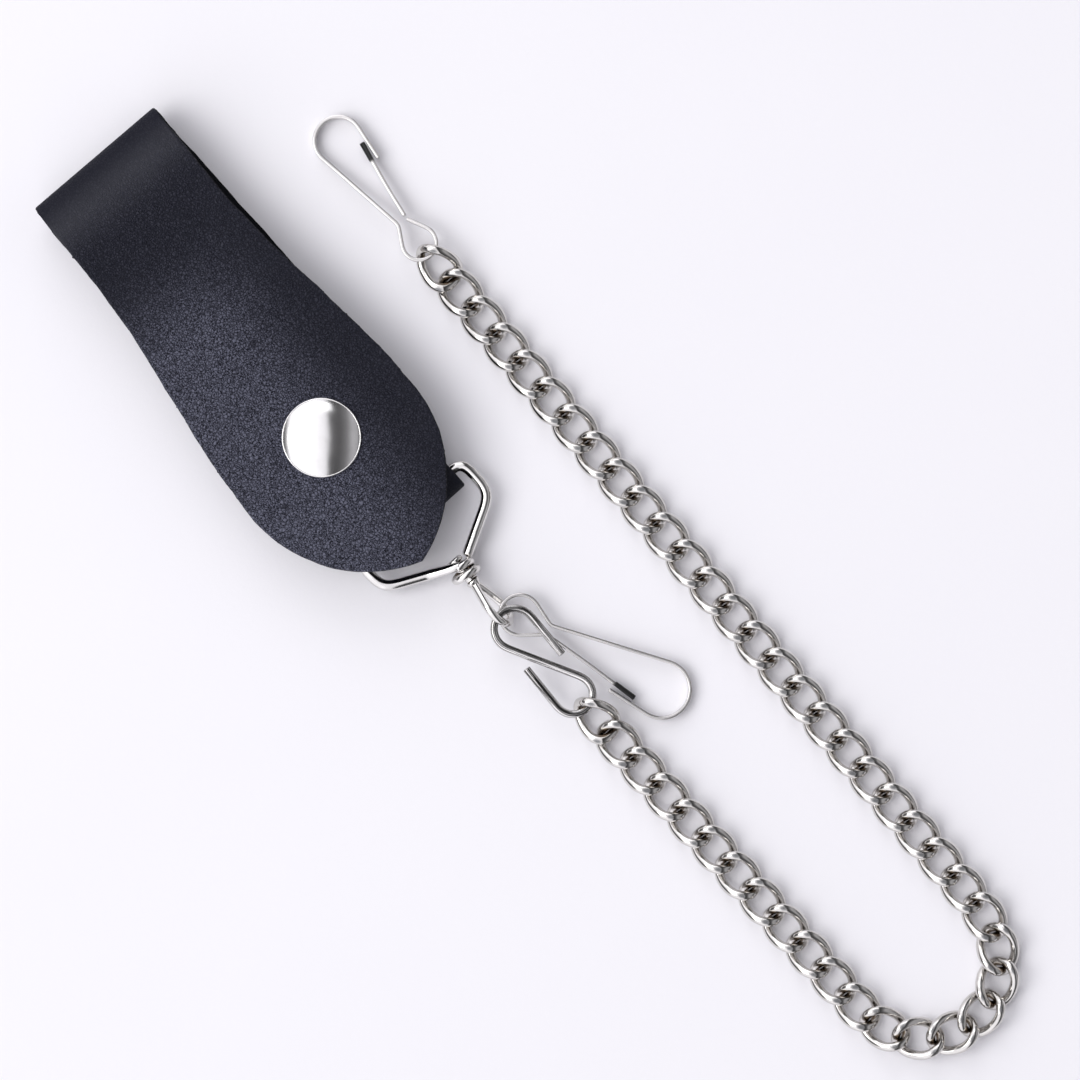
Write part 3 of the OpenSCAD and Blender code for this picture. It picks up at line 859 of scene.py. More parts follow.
@dataclass
class BeltLoop:
    """The folded strap: rear leaf and turned tab, and the fold with the flared flap.

    Attributes:
        length: Fold to tip.
        strap: Width at the fold.
        flap: Width of the flap at its widest.
        widest: Distance from the fold to the widest place.
        flare_from: Distance from the fold to where the flap starts to widen.
        thick: Thickness of the leather.
        fold: Half the fold's depth along the strap.
        skew: Turn of the rear leaf against the flap, in degrees.
        snap: Distance from the fold to the snap.
        bar: Distance from the fold to the ring's bar.
        tab: Width of the tab.
        tab_back: How far the turned tab reaches back from the bar.
        settle: Length over which the tab comes down on to the leaf.
        axle: Height of the bar.
        tab_low: Height of the tab's lower face.
        edge_soft: Radius of the cut edge on the grain side.
        edge_hard: Radius of the cut edge on the flesh side.
        wander: Height of the slow unevenness of the cut.
        snag: Height of a snag for each unit that the quick unevenness passes snag_from.
        snag_from: Where snags begin.
        swell: How far the flap's middle stands proud past the fold.
    """

    length: float = 99.6
    strap: float = 30.0
    flap: float = 40.0
    widest: float = 72.5
    flare_from: float = 18.0
    thick: float = 2.6
    fold: float = 9.0
    skew: float = 2.6
    snap: float = 69.2
    bar: float = 90.05
    tab: float = 22.6
    tab_back: float = 32.0
    settle: float = 10.0
    axle: float = 4.0
    tab_low: float = 2.75
    edge_soft: float = 0.45
    edge_hard: float = 0.2
    wander: float = 0.13
    snag: float = 0.9
    snag_from: float = 0.72
    swell: float = 0.16

    def origin(self) -> Array:
        """The fold's foremost line at table height, on the strap's centre line."""
        flap_low, flap_high = node_box("strap_flap")
        back_low, _ = node_box("strap_back")
        return np.array([back_low[0], (flap_low[1] + flap_high[1]) / 2, 0.0])

    def height(self) -> float:
        """Height of the flap's upper face."""
        return float(node_box("strap_flap")[1][2])

    def flap_half(self, x: Array) -> Array:
        """Half width of the flap.

        An eased flare (3t^2 - 2t^3) up to the widest place, then a circle's arc that meets its mirror
        image in a point.
        """
        t = np.clip((x - self.flare_from) / (self.widest - self.flare_from), 0, 1)
        flare = self.strap / 2 + (self.flap - self.strap) / 2 * t * t * (3 - 2 * t)
        r = ((self.length - self.widest) ** 2 + (self.flap / 2) ** 2) / self.flap
        past = np.clip(x - self.widest, 0, self.length - self.widest)
        arch = self.flap / 2 - r + np.sqrt(np.maximum(r * r - past**2, 0))
        return np.where(x < self.widest, flare, np.maximum(arch, 0.02))

    def back_half(self, x: Array) -> Array:
        """Half width of the rear leaf: full, then narrowed to the tab between 60 and 82."""
        return np.interp(x, [60, 82], [self.strap / 2, self.tab / 2])

    def section(self, half: Array, camber: Array) -> tuple[Array, Array, Array]:
        """Cross-sections of the strap, one for each half width.

        A rectangle of the leather's thickness whose corners are quarter circles, with the grain side
        softer than the flesh side; camber lifts the middle of both faces.

        Args:
            half: Half widths, n.
            camber: Height by which the middle stands proud, n.

        Returns:
            Outlines n by k by 2, and marks for cut edge and flesh side, k each.
        """
        t = self.thick / 2
        c = np.cos(np.linspace(0, np.pi, 30))
        up = np.linspace(0, np.pi / 2, 6)
        wide = half[:, None]
        soft = np.minimum(self.edge_soft, half * 0.9)[:, None]
        hard = np.minimum(self.edge_hard, half * 0.9)[:, None]
        face = (wide - soft) * c[None, :]
        lift = camber[:, None] * (1 - c[None, :] ** 2)
        right = np.stack([wide - soft + soft * np.cos(up), t - soft + soft * np.sin(up)], axis=2)
        top = np.stack([face[:, 1:-1], t + lift[:, 1:-1]], axis=2)
        walls = np.linspace(t - self.edge_soft, -t + self.edge_hard, 5)[1:-1]
        wall = np.broadcast_to(walls, (len(half), len(walls)))
        left_wall = np.stack([np.broadcast_to(-wide, wall.shape), wall], axis=2)
        right_wall = np.stack([np.broadcast_to(wide, wall.shape), wall[:, ::-1]], axis=2)
        left_low = np.stack([-wide + hard - hard * np.cos(up), -t + hard - hard * np.sin(up)], axis=2)
        bottom = np.stack([-face[:, 1:-1], -t + lift[:, 1:-1]], axis=2)
        mirror = np.array([-1.0, 1.0])
        left, right_low = right[:, ::-1] * mirror, left_low[:, ::-1] * mirror
        outline = np.concatenate(
            [right, top, left, left_wall, left_low, bottom, right_low, right_wall], axis=1
        )
        blank, bare = np.zeros(top.shape[1]), np.ones(len(walls))
        rise = np.array([0, 0, 0.1, 0.3, 0.6, 0.9])
        low = np.full(len(up), 0.8)
        edge = np.concatenate([rise[::-1], blank, rise, bare, low, blank, low, bare])
        grain = np.zeros(3 * len(up) + len(blank) + len(bare))
        flesh = np.concatenate([grain, blank + 1, low * 0, bare * 0])
        return outline, edge, flesh

    def uneven(self, s: Array, seed: int) -> Array:
        """How far one cut edge stands out at each distance: a slow wander, with a snag here and there."""
        snags = self.snag * np.maximum(waves(s, seed, 2.9, 4) - self.snag_from, 0)
        return self.wander * waves(s, seed, 17.0, 5) + snags

    def dish(self, points: Array) -> None:
        """Presses the flap's points down a little round the snap, in place."""
        r = np.hypot(points[..., 0] - self.snap, points[..., 1])
        pressed = 0.22 * np.exp(-((np.maximum(r - 6.5, 0) / 2.6) ** 2))
        points[..., 2] -= pressed * (points[..., 2] > 9.6)

    def stretched(self, t: Array, s: Array) -> Array:
        """How much the grain is stretched, 0 to 1: the line's curvature times 9, blurred along it."""
        bend = np.gradient(np.unwrap(np.arctan2(t[:, 2], t[:, 0])))
        bend = np.abs(bend / np.maximum(np.gradient(s), 1e-6))
        spread = np.exp(-((np.arange(-30, 31) / 14.0) ** 2))
        return np.convolve(np.clip(bend * 9.0, 0, 1), spread / spread.sum(), "same")

    def strip(self, x: Array, z: Array, turn: Array, half: Array, camber: Array, front: bool) -> Skin:
        """Carries the section along a line in the strap's side view, askew where it is folded so.

        Args:
            x: Distances from the fold, n.
            z: Heights of the middle of the leather, n.
            turn: Skew in degrees at each point, n.
            half: Half widths, n.
            camber: Camber, n.
            front: Whether this is the front leaf, which the snap dishes; the rear leaf faces down.

        Returns:
            The surface in the row's frame.
        """
        path = np.stack([x, np.zeros_like(x), z], axis=1)
        s = lengths(path)
        seed = 11 if front else 23
        left, right = self.uneven(s, seed), self.uneven(s, seed + 7)
        keep = np.minimum(1, half / 3)
        cut = np.maximum(half + (left + right) / 2 * keep, 0.02)
        outline, edge, flesh = self.section(cut, camber)
        outline = outline + ((left - right) / 2 * keep)[:, None, None] * np.array([1.0, 0.0])
        t = tangents(path, False)
        up = np.cross(t, Y_AXIS) * (1.0 if front else -1.0)
        points = path[:, None, :] + outline[..., :1] * Y_AXIS + outline[..., 1:] * up[:, None, :]
        k = np.radians(turn)[:, None]
        px, py = points[..., 0].copy(), points[..., 1].copy()
        points[..., 0] = px * np.cos(k) - py * np.sin(k)
        points[..., 1] = px * np.sin(k) + py * np.cos(k)
        if front:
            self.dish(points)
        wide = np.concatenate([outline[..., 0], outline[:, :1, 0]], axis=1)
        side = np.concatenate([flesh, flesh[:1]]) * 60.0
        surface = np.stack([np.broadcast_to(s[:, None], wide.shape), wide + side], axis=2)
        marks = {"edge": edge, "flesh": flesh, "stretch": self.stretched(t, s)[:, None]}
        return Skin(points + self.origin(), False, surface, marks)

    def fold_line(self, angles: Array) -> tuple[Array, Array]:
        """Distance and height of the leather's middle on the fold, an ellipse drawn in by half of it."""
        high = self.height() / 2
        nx, nz = np.cos(angles) / self.fold, np.sin(angles) / high
        size = np.hypot(nx, nz)
        x = self.fold * (1 + np.cos(angles)) - self.thick / 2 * nx / size
        return x, high * (1 + np.sin(angles)) - self.thick / 2 * nz / size

    def front(self) -> bpy.types.Object:
        """Makes the fold and the flap, from under the fold to the tip.

        Returns:
            The piece.
        """
        top = self.height()
        a = np.radians(np.linspace(250, 90, 90))
        fold_x, fold_z = self.fold_line(a)
        leaf = np.linspace(self.fold, self.widest, 250)[1:]
        point = (self.length - self.widest) * np.sin(np.linspace(0, np.pi / 2, 110))[1:]
        flat = np.concatenate([leaf, self.widest + point])
        x = np.concatenate([fold_x, flat])
        z = np.concatenate([fold_z, np.full(len(flat), top - self.thick / 2)])
        turn = np.concatenate([self.skew * (np.degrees(a) - 90) / 180, np.zeros(len(flat))])
        half = np.where(np.arange(len(x)) < len(a), self.strap / 2, self.flap_half(x))
        swell = self.swell * np.exp(-(((x - 34) / 18) ** 2)) * (z > top / 2)
        skin = self.strip(x, z, turn, half, swell, True)
        piece = make_piece("belt_loop_front", [skin], Finish.LEATHER)
        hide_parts("strap_flap")
        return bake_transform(piece)

    def back(self) -> bpy.types.Object:
        """Makes the rear leaf and the tab, which runs round the ring's bar and back over the leaf.

        Returns:
            The piece.
        """
        t = self.thick / 2
        x0, z0 = self.fold_line(np.radians(np.linspace(250, 270, 14)))
        leaf = np.linspace(self.fold, self.bar, 90)[1:-1]
        b = np.radians(np.linspace(-90, 90, 50))
        ease = np.linspace(0, 1, 24)
        drop = (2 * self.axle - self.thick - self.tab_low) * (1 - ease * ease * (3 - 2 * ease))
        tab = np.linspace(self.bar - self.settle, self.bar - self.tab_back, 40)[1:]
        x = np.concatenate(
            [x0, leaf, self.bar + (self.axle - t) * np.cos(b), self.bar - self.settle * ease[1:], tab]
        )
        z = np.concatenate(
            [z0, np.full(len(leaf), t), self.axle + (self.axle - t) * np.sin(b)]
            + [self.tab_low + t + drop[1:], np.full(len(tab), self.tab_low + t)]
        )
        at = np.arange(len(x))
        turn = self.skew * np.interp(at, [0, len(x0)], [160 / 180, 1])
        half = np.where(at > len(x0) + len(leaf), self.tab / 2, self.back_half(x))
        flip = self.strip(x, z, turn, half, np.zeros(len(x)), False)
        piece = make_piece("belt_loop_back", [flip], Finish.LEATHER)
        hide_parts("strap_back")
        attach(piece, "strap")
        return piece

    def build(self) -> list[bpy.types.Object]:
        """Makes both leather pieces."""
        return [self.front(), self.back()]


# ---- The snap ----


@dataclass
class Snap:
    """The snap fastener: a stamped dome over the flap, and the plain metal parts inside."""

    cap: float = 15.2
    rim: float = 0.17

    def dome(self) -> bpy.types.Object:
        """Makes the cap.

        The dome is a shallow bulge, h = rim + rise (1 - (r/R)^2.2)^0.84, as high as the CAD's cap,
        that ends in a rolled rim, a small circle round the edge.

        Returns:
            The piece.
        """
        low, high = node_box("snap_cap")
        flap_top = float(node_box("strap_flap")[1][2])
        centre = np.array([(low[0] + high[0]) / 2, (low[1] + high[1]) / 2, flap_top])
        radius = self.cap / 2
        inner = radius - 1.3 * self.rim
        top = high[2] - flap_top
        r = inner * np.sin(np.linspace(0, np.pi / 2, 44))
        h = self.rim * 1.5 + (top - self.rim * 1.5) * (1 - (r / inner) ** 2.2) ** 0.84
        r[0] = 1e-4
        a = np.radians(np.linspace(125, -100, 16))
        rolled = arc(self.rim, a) + np.array([radius - self.rim, self.rim * 0.98])
        under_r = np.linspace(radius - self.rim * 1.6, 1e-4, 8)
        under = np.stack([under_r, np.full(8, 0.04)], axis=1)
        profile = np.concatenate([np.stack([r, h], axis=1), rolled, under])
        skin = lathe(profile, 160, centre, Z_AXIS)
        piece = make_piece("snap_dome", [skin], Finish.CAP)
        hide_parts("snap_cap")
        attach(piece, "flap")
        return piece

    def dress(self) -> None:
        """Gives the snap's inner parts, which stay as they are, their plate and wire finishes."""
        for node in ("snap_socket", "snap_stud", "snap_rivet"):
            repaint(node, Finish.NICKEL)
        repaint("snap_spring", Finish.STRIP)

    def build(self) -> list[bpy.types.Object]:
        """Makes the cap and dresses the rest."""
        self.dress()
        return [self.dome()]


def repaint(node: str, finish: Finish) -> None:
    """Puts a finish on a CAD node that is kept."""
    body = frame["nodes"][node]
    if not body.material_slots:
        body.data.materials.append(finish.material())
    for slot in body.material_slots:
        slot.material = finish.material()


# ---- Ring and swivel ----


@dataclass
class RingAndSwivel:
    """The bent wire ring, wound round the swivel's pin, and the swivel with its pear loop.

    Attributes:
        wire: Thickness of the ring's wire.
        width: Length of the bar, between the wire's middles.
        side: Distance from the bar to where the ring's sides turn in.
        eye_at: Distance from the bar to the first turn round the pin.
        eye: Outer width of the turns round the pin.
        eye_thick: Thickness of one turn along the pin.
        gap: Clearance between two turns.
        coil_wire: Radius of the wire where it is wound.
        coil_pitch: Advance of each turn along the pin.
        pin: Radius of the pin.
        head: Radius of the pin's head.
        head_thick: Thickness of the head.
        head_gap: Clearance between the head and the first turn.
        loop_wire: Thickness of the pear loop's wire.
        loop_width: Width of the pear loop, between the wire's middles.
        loop_length: How far the loop reaches past the last turn.
        lean: Turn of the loop's plane about the pin, in degrees.
    """

    wire: float = 2.1
    width: float = 27.6
    side: float = 7.6
    eye_at: float = 15.3
    eye: float = 6.4
    eye_thick: float = 1.7
    gap: float = 0.3
    coil_wire: float = 0.84
    coil_pitch: float = 1.95
    pin: float = 1.1
    head: float = 1.65
    head_thick: float = 1.1
    head_gap: float = 0.3
    loop_wire: float = 1.6
    loop_width: float = 7.0
    loop_length: float = 11.9
    lean: float = 68.0

    def frame(self) -> tuple[Array, Array]:
        """The bar's middle, and the matrix whose columns are outwards, along the bar and up."""
        return joint("ring_turn")[0], frame_of(joint("swivel_turn")[1], Z_AXIS)

    def ring(self) -> bpy.types.Object:
        """Makes the ring.

        The wire follows a six-cornered line with rounded corners in the ring's plane. Its near end
        climbs to the top of the pin and winds down round it, v = -R cos a, w = R sin a, thinner and
        moving outwards evenly, for a turn and a half more. Its far end tucks in under the pin.

        Returns:
            The piece.
        """
        place, turn = self.frame()
        half = self.width / 2
        coil_r = self.eye / 2 - 0.93
        first = self.eye_at - 0.3
        pts = np.array(
            [[first, 0.35], [self.side + 0.6, -half], [0, -half], [0, half], [self.side + 0.6, half]]
            + [[self.eye_at - 1.0, coil_r + 0.2]]
        )
        flat = softened(resampled(pts, 0.15), 14, 2)
        s = lengths(flat)
        climb = np.clip((s - 0.6) / 6.5, 0, 1)
        tuck = np.interp(s, [s[-1] - 4.5, s[-1] - 1.5, s[-1]], [0, 0.5, 1.0])
        w = coil_r * (1 - climb**2 * (3 - 2 * climb)) - tuck
        body = np.concatenate([flat, w[:, None]], axis=1)
        path, outline = with_ends(resampled(body, 0.3), circle(self.wire / 2, 28), 0.5)
        thin = np.interp(lengths(path), [0, 1.2, 6.0], [0.76, 0.8, 1.0])
        shaft = sweep(path, Z_AXIS, outline * thin[:, None, None])
        a = np.radians(np.linspace(74, 650, 150))
        drift = first + self.coil_pitch * (np.degrees(a) - 80) / 360
        drift = np.minimum(drift, self.eye_at + self.eye_thick + self.gap)
        coil = np.stack([drift, -coil_r * np.cos(a), coil_r * np.sin(a)], axis=1)
        coil_path, coil_outline = with_ends(coil, circle(self.coil_wire, 24), 0.4)
        wound = sweep(coil_path, X_AXIS, coil_outline)
        reach = np.linalg.norm(wound.points[..., 1:], axis=-1)
        # Painted shade on the coil's inner side, against the pin.
        wound.marks["recess"] = np.clip((coil_r + 0.45 - reach) / 0.6, 0, 1)
        skins = [skin.moved(turn, place) for skin in (shaft, wound)]
        piece = make_piece("wire_ring", skins, Finish.CAST)
        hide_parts("ring")
        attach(piece, "ring")
        return piece

    def swivel(self) -> bpy.types.Object:
        """Makes the headed pin and its pear loop.

        The pin is a turned profile with a rounded head and a waist where the loop's two strands leave
        it. The loop is two straight strands that run into most of a circle, in a leaning plane.

        Returns:
            The piece.
        """
        place, turn = self.frame()
        eye_end = self.eye_at + self.eye_thick * 1.5 + self.gap
        neck = eye_end + 1.4
        start = self.eye_at - self.eye_thick / 2 - self.head_gap - self.head_thick
        tip = eye_end + self.loop_length - self.loop_wire / 2
        r = self.loop_width / 2
        mid = tip - r
        lean = math.asin(r / (mid - neck))
        h = self.head
        under = start + self.head_thick
        profile = np.array(
            [[1e-4, start], [h - 0.45, start], [h - 0.15, start + 0.1], [h, start + 0.35]]
            + [[h, under - 0.25], [h - 0.12, under - 0.05], [h - 0.4, under]]
            + [[self.pin, under + 0.02], [self.pin, eye_end + 0.25], [1.35, eye_end + 0.4]]
            + [[1.42, eye_end + 0.75], [1.2, eye_end + 1.15], [0.95, neck + 0.4], [1e-4, neck + 0.9]]
        )
        profile = softened(resampled(profile, 0.08), 1, 1)
        pin = lathe(profile, 48, np.zeros(3), X_AXIS)
        a = np.linspace(np.pi / 2 + lean, -np.pi / 2 - lean, 60)
        bow = arc(r, a) + np.array([mid, 0.0])
        line = np.concatenate([[[neck - 0.5, 0.28]], bow, [[neck - 0.5, -0.28]]])
        line = softened(resampled(line, 0.15), 6, 2)
        path, outline = with_ends(flat_path(line), circle(self.loop_wire / 2, 24), 0.3)
        loop = sweep(path, Z_AXIS, outline)
        leaned = turn @ turn_x(-self.lean)
        skins = [pin.moved(leaned, place), loop.moved(leaned, place)]
        piece = make_piece("swivel_pin_and_loop", skins, Finish.CAST)
        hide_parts("swivel")
        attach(piece, "swivel")
        return piece

    def build(self) -> list[bpy.types.Object]:
        """Makes both pieces."""
        return [self.ring(), self.swivel()]


# ---- S-hook ----


@dataclass
class SHook:
    """The S-hook of drawn wire.

    Attributes:
        wire: Thickness of the wire.
        first: Radius of the first bow, about its middle line.
        second: Radius of the second bow.
        span: Distance between the bows' centres.
        tail: Length of each straight end.
        heading: Turn about the vertical, in degrees.
        slope: Fall along the hook, in degrees.
    """

    wire: float = 1.5
    first: float = 4.0
    second: float = 3.8
    span: float = 17.0
    tail: float = 9.6
    heading: float = 2.4
    slope: float = 4.7

    def build(self) -> list[bpy.types.Object]:
        """Makes the hook.

        The middle line is a tail, most of a circle, the straight line that touches both circles, most
        of a second circle the other way, and a tail.

        Returns:
            The piece.
        """
        cross = math.degrees(math.asin((self.first + self.second) / self.span)) - 90
        top = 90 - self.heading
        heading = math.radians(self.heading)
        tail = self.tail * np.array([math.cos(heading), -math.sin(heading)])
        a = np.radians(np.linspace(top, 360 + cross, 60))
        b = np.radians(np.linspace(180 + cross, top - 180, 60))
        one = arc(self.first, a)
        two = np.array([self.span, 0]) + arc(self.second, b)
        line = np.concatenate([[one[0] + tail], one, two, [two[-1] - tail]])
        line = softened(resampled(line, 0.2), 4, 2)
        path, outline = with_ends(flat_path(line), circle(self.wire / 2, 24), 0.16)
        skin = sweep(path, Z_AXIS, outline)
        skin = skin.moved(turn_z(self.heading) @ turn_y(self.slope), np.zeros(3))
        piece = make_piece("s_hook_wire", seated([skin], "s_hook"), Finish.WIRE)
        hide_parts("s_hook")
        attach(piece, "s_hook")
        return [piece]


# ---- Spring clips ----


@dataclass
class SpringClip:
    """A clip bent from flat strip on its edge: small loop, waist, arm, large loop, keeper and gate.

    Attributes:
        node: The CAD node of its body.
        span: Distance between the loops' centres.
        big: Radius of the large loop, about its middle line.
        small: Radius of the small loop.
        pitch: Fall along the clip, in degrees.
        heading: Turn about the vertical, in degrees.
        thick: Thickness of the strip.
        deep: Depth of the strip.
        leaf: Thickness of the gate's doubled end.
        waist: Distance of the waist from the small loop's centre, in its radii.
        waist_gap: Half the width of the waist, between the strip's middles.
        keeper_end: Where the large loop ends, in degrees below the clip's line.
        keeper: Length of the keeper on a clip whose large loop has the radius full.
        full: That radius.
    """

    node: str
    span: float
    big: float
    small: float
    pitch: float
    heading: float
    thick: float = 0.72
    deep: float = 2.0
    leaf: float = 0.32
    waist: float = 1.58
    waist_gap: float = 1.0
    keeper_end: float = 95.0
    keeper: float = 8.5
    full: float = 5.5

    def line(self) -> Array:
        """Middle line of the body in its own plane, n by 2.

        From the waist it touches the small circle, goes round it to the waist's other side, runs
        straight to touch the large circle, goes round that and ends in a short straight keeper.
        """

        def touch(p: Array, c: Array, r: float, side: float) -> float:
            """Angle on the circle about c where a line from p touches it."""
            d = p - c
            apart = math.degrees(math.acos(r / np.linalg.norm(d)))
            return math.degrees(math.atan2(d[1], d[0])) + side * apart

        w = np.array([self.small * self.waist, self.waist_gap])
        far = np.array([self.span, 0.0])
        s = touch(w, np.zeros(2), self.small, 1)
        b = touch(w, far, self.big, -1)
        a1 = np.radians(np.linspace(360 - s, s, 70))
        a2 = np.radians(np.linspace(b, -self.keeper_end, 90))
        one = arc(self.small, a1)
        two = far + arc(self.big, a2)
        k = math.radians(self.keeper_end)
        end = two[-1] + self.keeper * self.big / self.full * np.array([-math.sin(k), -math.cos(k)])
        raw = np.concatenate([[[w[0], -w[1]]], one, [w], two, [end]])
        return softened(resampled(raw, 0.16), 3, 2)

    def gate_line(self) -> Array:
        """Middle line of the gate: from the waist, slightly bowed, to its hooked tip."""
        root = np.array([self.small * self.waist, -self.waist_gap])
        tip = np.array([self.span - self.big * 0.75, -self.big * 0.74])
        step = unit(tip - root)
        side = np.array([-step[1], step[0]])
        t = np.linspace(0, 1, 60)[:, None]
        begin = root + step * self.thick * 0.7
        return begin + (tip - begin) * t + side * 0.16 * np.sin(np.pi * t)

    def strip(self, line: Array, thick: float, deep: float) -> Skin:
        """Carries a soft rectangle, thin across the line and deep along the clip's axis."""
        section = soft_rectangle(thick / 2, deep / 2, min(0.2, thick * 0.45))
        path, outline = with_ends(flat_path(line), section, 0.12, 3)
        return sweep(path, Z_AXIS, outline)

    def build(self) -> list[bpy.types.Object]:
        """Makes the body and the gate.

        Returns:
            The two pieces.
        """
        turn = turn_z(self.heading) @ turn_y(self.pitch)
        body = self.strip(self.line(), self.thick, self.deep).moved(turn, np.zeros(3))
        piece = make_piece(f"{self.node}_strip", seated([body], self.node), Finish.STRIP)
        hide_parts(self.node)
        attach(piece, self.node)
        line = self.gate_line()
        gate = self.strip(line, self.thick, self.deep).moved(turn, np.zeros(3))
        placed = seated([gate], f"{self.node}_gate")[0]
        shift = placed.points[0, 0] - gate.points[0, 0]
        reach = self.big / self.full
        step = unit(line[-1] - line[0])
        side = np.array([-step[1], step[0]])
        t = np.linspace(0, 1, 24)[:, None]
        fold = line[-1] - step * (4.6 * reach * t) + side * (self.thick + self.leaf) * 0.49
        doubled = self.strip(fold[::-1], self.leaf, self.deep * 0.98).moved(turn, shift)
        # Painted shadow: the gate's doubled end, and its last few millimetres, are marked to be coloured
        # nearly black for the shade under the keeper.
        doubled.marks = {"recess": np.ones(doubled.points.shape[:2])}
        far = np.linalg.norm(placed.points - placed.points[-1:, :1], axis=2)
        placed.marks = {"recess": np.clip((5.2 * reach - far) / 0.5, 0, 1)}
        leaf = make_piece(f"{self.node}_gate_strip", [placed, doubled], Finish.STRIP)
        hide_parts(f"{self.node}_gate")
        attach(leaf, f"{self.node}_gate")
        return [piece, leaf]


# ---- Chain ----


@dataclass
class CurbChain:
    """The curb chain: every link a closed, twisted oblong of round wire, ground flat above and below.

    Attributes:
        pitch: Advance of each link.
        wire: Thickness of the wire.
        width: Width of a link over all, before it is twisted.
        play: How much longer than tight a link is.
        twist: Turn of a link's end against its middle, in degrees.
        power: Exponent of its superellipse.
        end_roll: Roll of the first and the last link about the run, in degrees.
        ground_at: Height above a link's middle at which it is ground flat.
        rings: Points along a link's wire.
        sides: Points round it.
    """

    pitch: float = 6.8
    wire: float = 1.8
    width: float = 8.35
    play: float = 0.12
    twist: float = -45.0
    power: float = 2.6
    end_roll: float = 23.0
    ground_at: float = 2.19
    rings: int = 96
    sides: int = 20

    def link(self, seed: int) -> Skin:
        """One link about its own middle.

        The middle line is the superellipse |x/a|^p + |y/b|^p = 1, whose point at x is turned about X by
        twist x/a. A round wire is carried along it, then heights past the ground plane are cut back to
        it. Painted shade grows towards both ends, on the inner side, where the neighbours bear.

        Args:
            seed: Picks this link's small unevenness.

        Returns:
            The surface.
        """
        rng = np.random.default_rng(seed)
        a = (self.pitch + self.wire + self.play) / 2
        b = (self.width - self.wire) / 2
        t = np.linspace(0, 2 * np.pi, self.rings, endpoint=False) + 1e-3
        x = a * np.sign(np.cos(t)) * np.abs(np.cos(t)) ** (2 / self.power)
        y = b * np.sign(np.sin(t)) * np.abs(np.sin(t)) ** (2 / self.power)
        line = np.stack([x, y], axis=1)
        whole = np.concatenate([line, line[:1]])
        line = resampled(whole, lengths(whole)[-1] / self.rings)[:-1]
        turn = np.radians(self.twist) * line[:, 0] / a
        path = np.stack([line[:, 0], line[:, 1] * np.cos(turn), line[:, 1] * np.sin(turn)], axis=1)
        skin = sweep(path, -path, circle(self.wire / 2, self.sides), closed=True)
        p = skin.points
        flat = self.ground_at + rng.uniform(-0.03, 0.03)
        over = np.clip((np.abs(p[..., 2]) - flat) / 0.1, 0, 1)
        p[..., 2] = np.clip(p[..., 2], -flat, flat)
        reach = np.linalg.norm(path, axis=1)[:, None]
        inward = np.clip((reach - 0.15 - np.linalg.norm(p, axis=2)) / (self.wire * 0.45), 0, 1)
        near_end = np.clip((np.abs(p[..., 0]) - a * 0.4) / (a * 0.45), 0, 1)
        # Painted shade on the inner side towards both ends, where the neighbours bear.
        hollow_shade = np.clip(inward * (0.45 + near_end) + near_end * 0.2, 0, 1)
        skin.marks = {"recess": hollow_shade * (1 - over), "ground": over}
        return skin

    def places(self) -> list[tuple[Array, Array]]:
        """Start and end joint of every link, in millimetres."""
        count = sum(1 for node in frame["nodes"] if node.startswith("link_"))
        spots = [joint(f"link_{i:02d}_turn")[0] for i in range(1, count + 1)]
        return list(zip(spots, spots[1:] + [joint("clip_b_swing")[0]]))

    def build(self) -> list[bpy.types.Object]:
        """Makes every link.

        Returns:
            The pieces.
        """
        made = []
        spots = self.places()
        for index, (start, end) in enumerate(spots, 1):
            node = f"link_{index:02d}"
            roll = self.end_roll if index == 1 else -self.end_roll if index == len(spots) else 0.0
            turn = frame_of(end - start, Z_AXIS) @ turn_x(roll)
            skin = self.link(index).moved(turn, (start + end) / 2)
            piece = make_piece(f"curb_{node}", [skin], Finish.NICKEL)
            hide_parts(node)
            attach(piece, node)
            made.append(piece)
        return made


# ---- Studio ----


@dataclass(frozen=True)
class SoftBox:
    """One soft light: its place and its size in metres, its power in watts and its colour."""

    name: str
    place: Triple
    size: tuple[float, float]
    power: float
    tone: Triple

    def build(self) -> None:
        """Adds the light, facing the object."""
        lamp = bpy.data.lights.new(self.name, "AREA")
        lamp.shape = "RECTANGLE"
        lamp.size, lamp.size_y = self.size
        lamp.energy = self.power
        lamp.color = self.tone
        box = bpy.data.objects.new(self.name, lamp)
        box.location = self.place
        facing = (Vector((0, 0, 0)) - Vector(self.place)).to_track_quat("-Z", "Y")
        box.rotation_euler = facing.to_euler()
        bpy.context.scene.collection.objects.link(box)


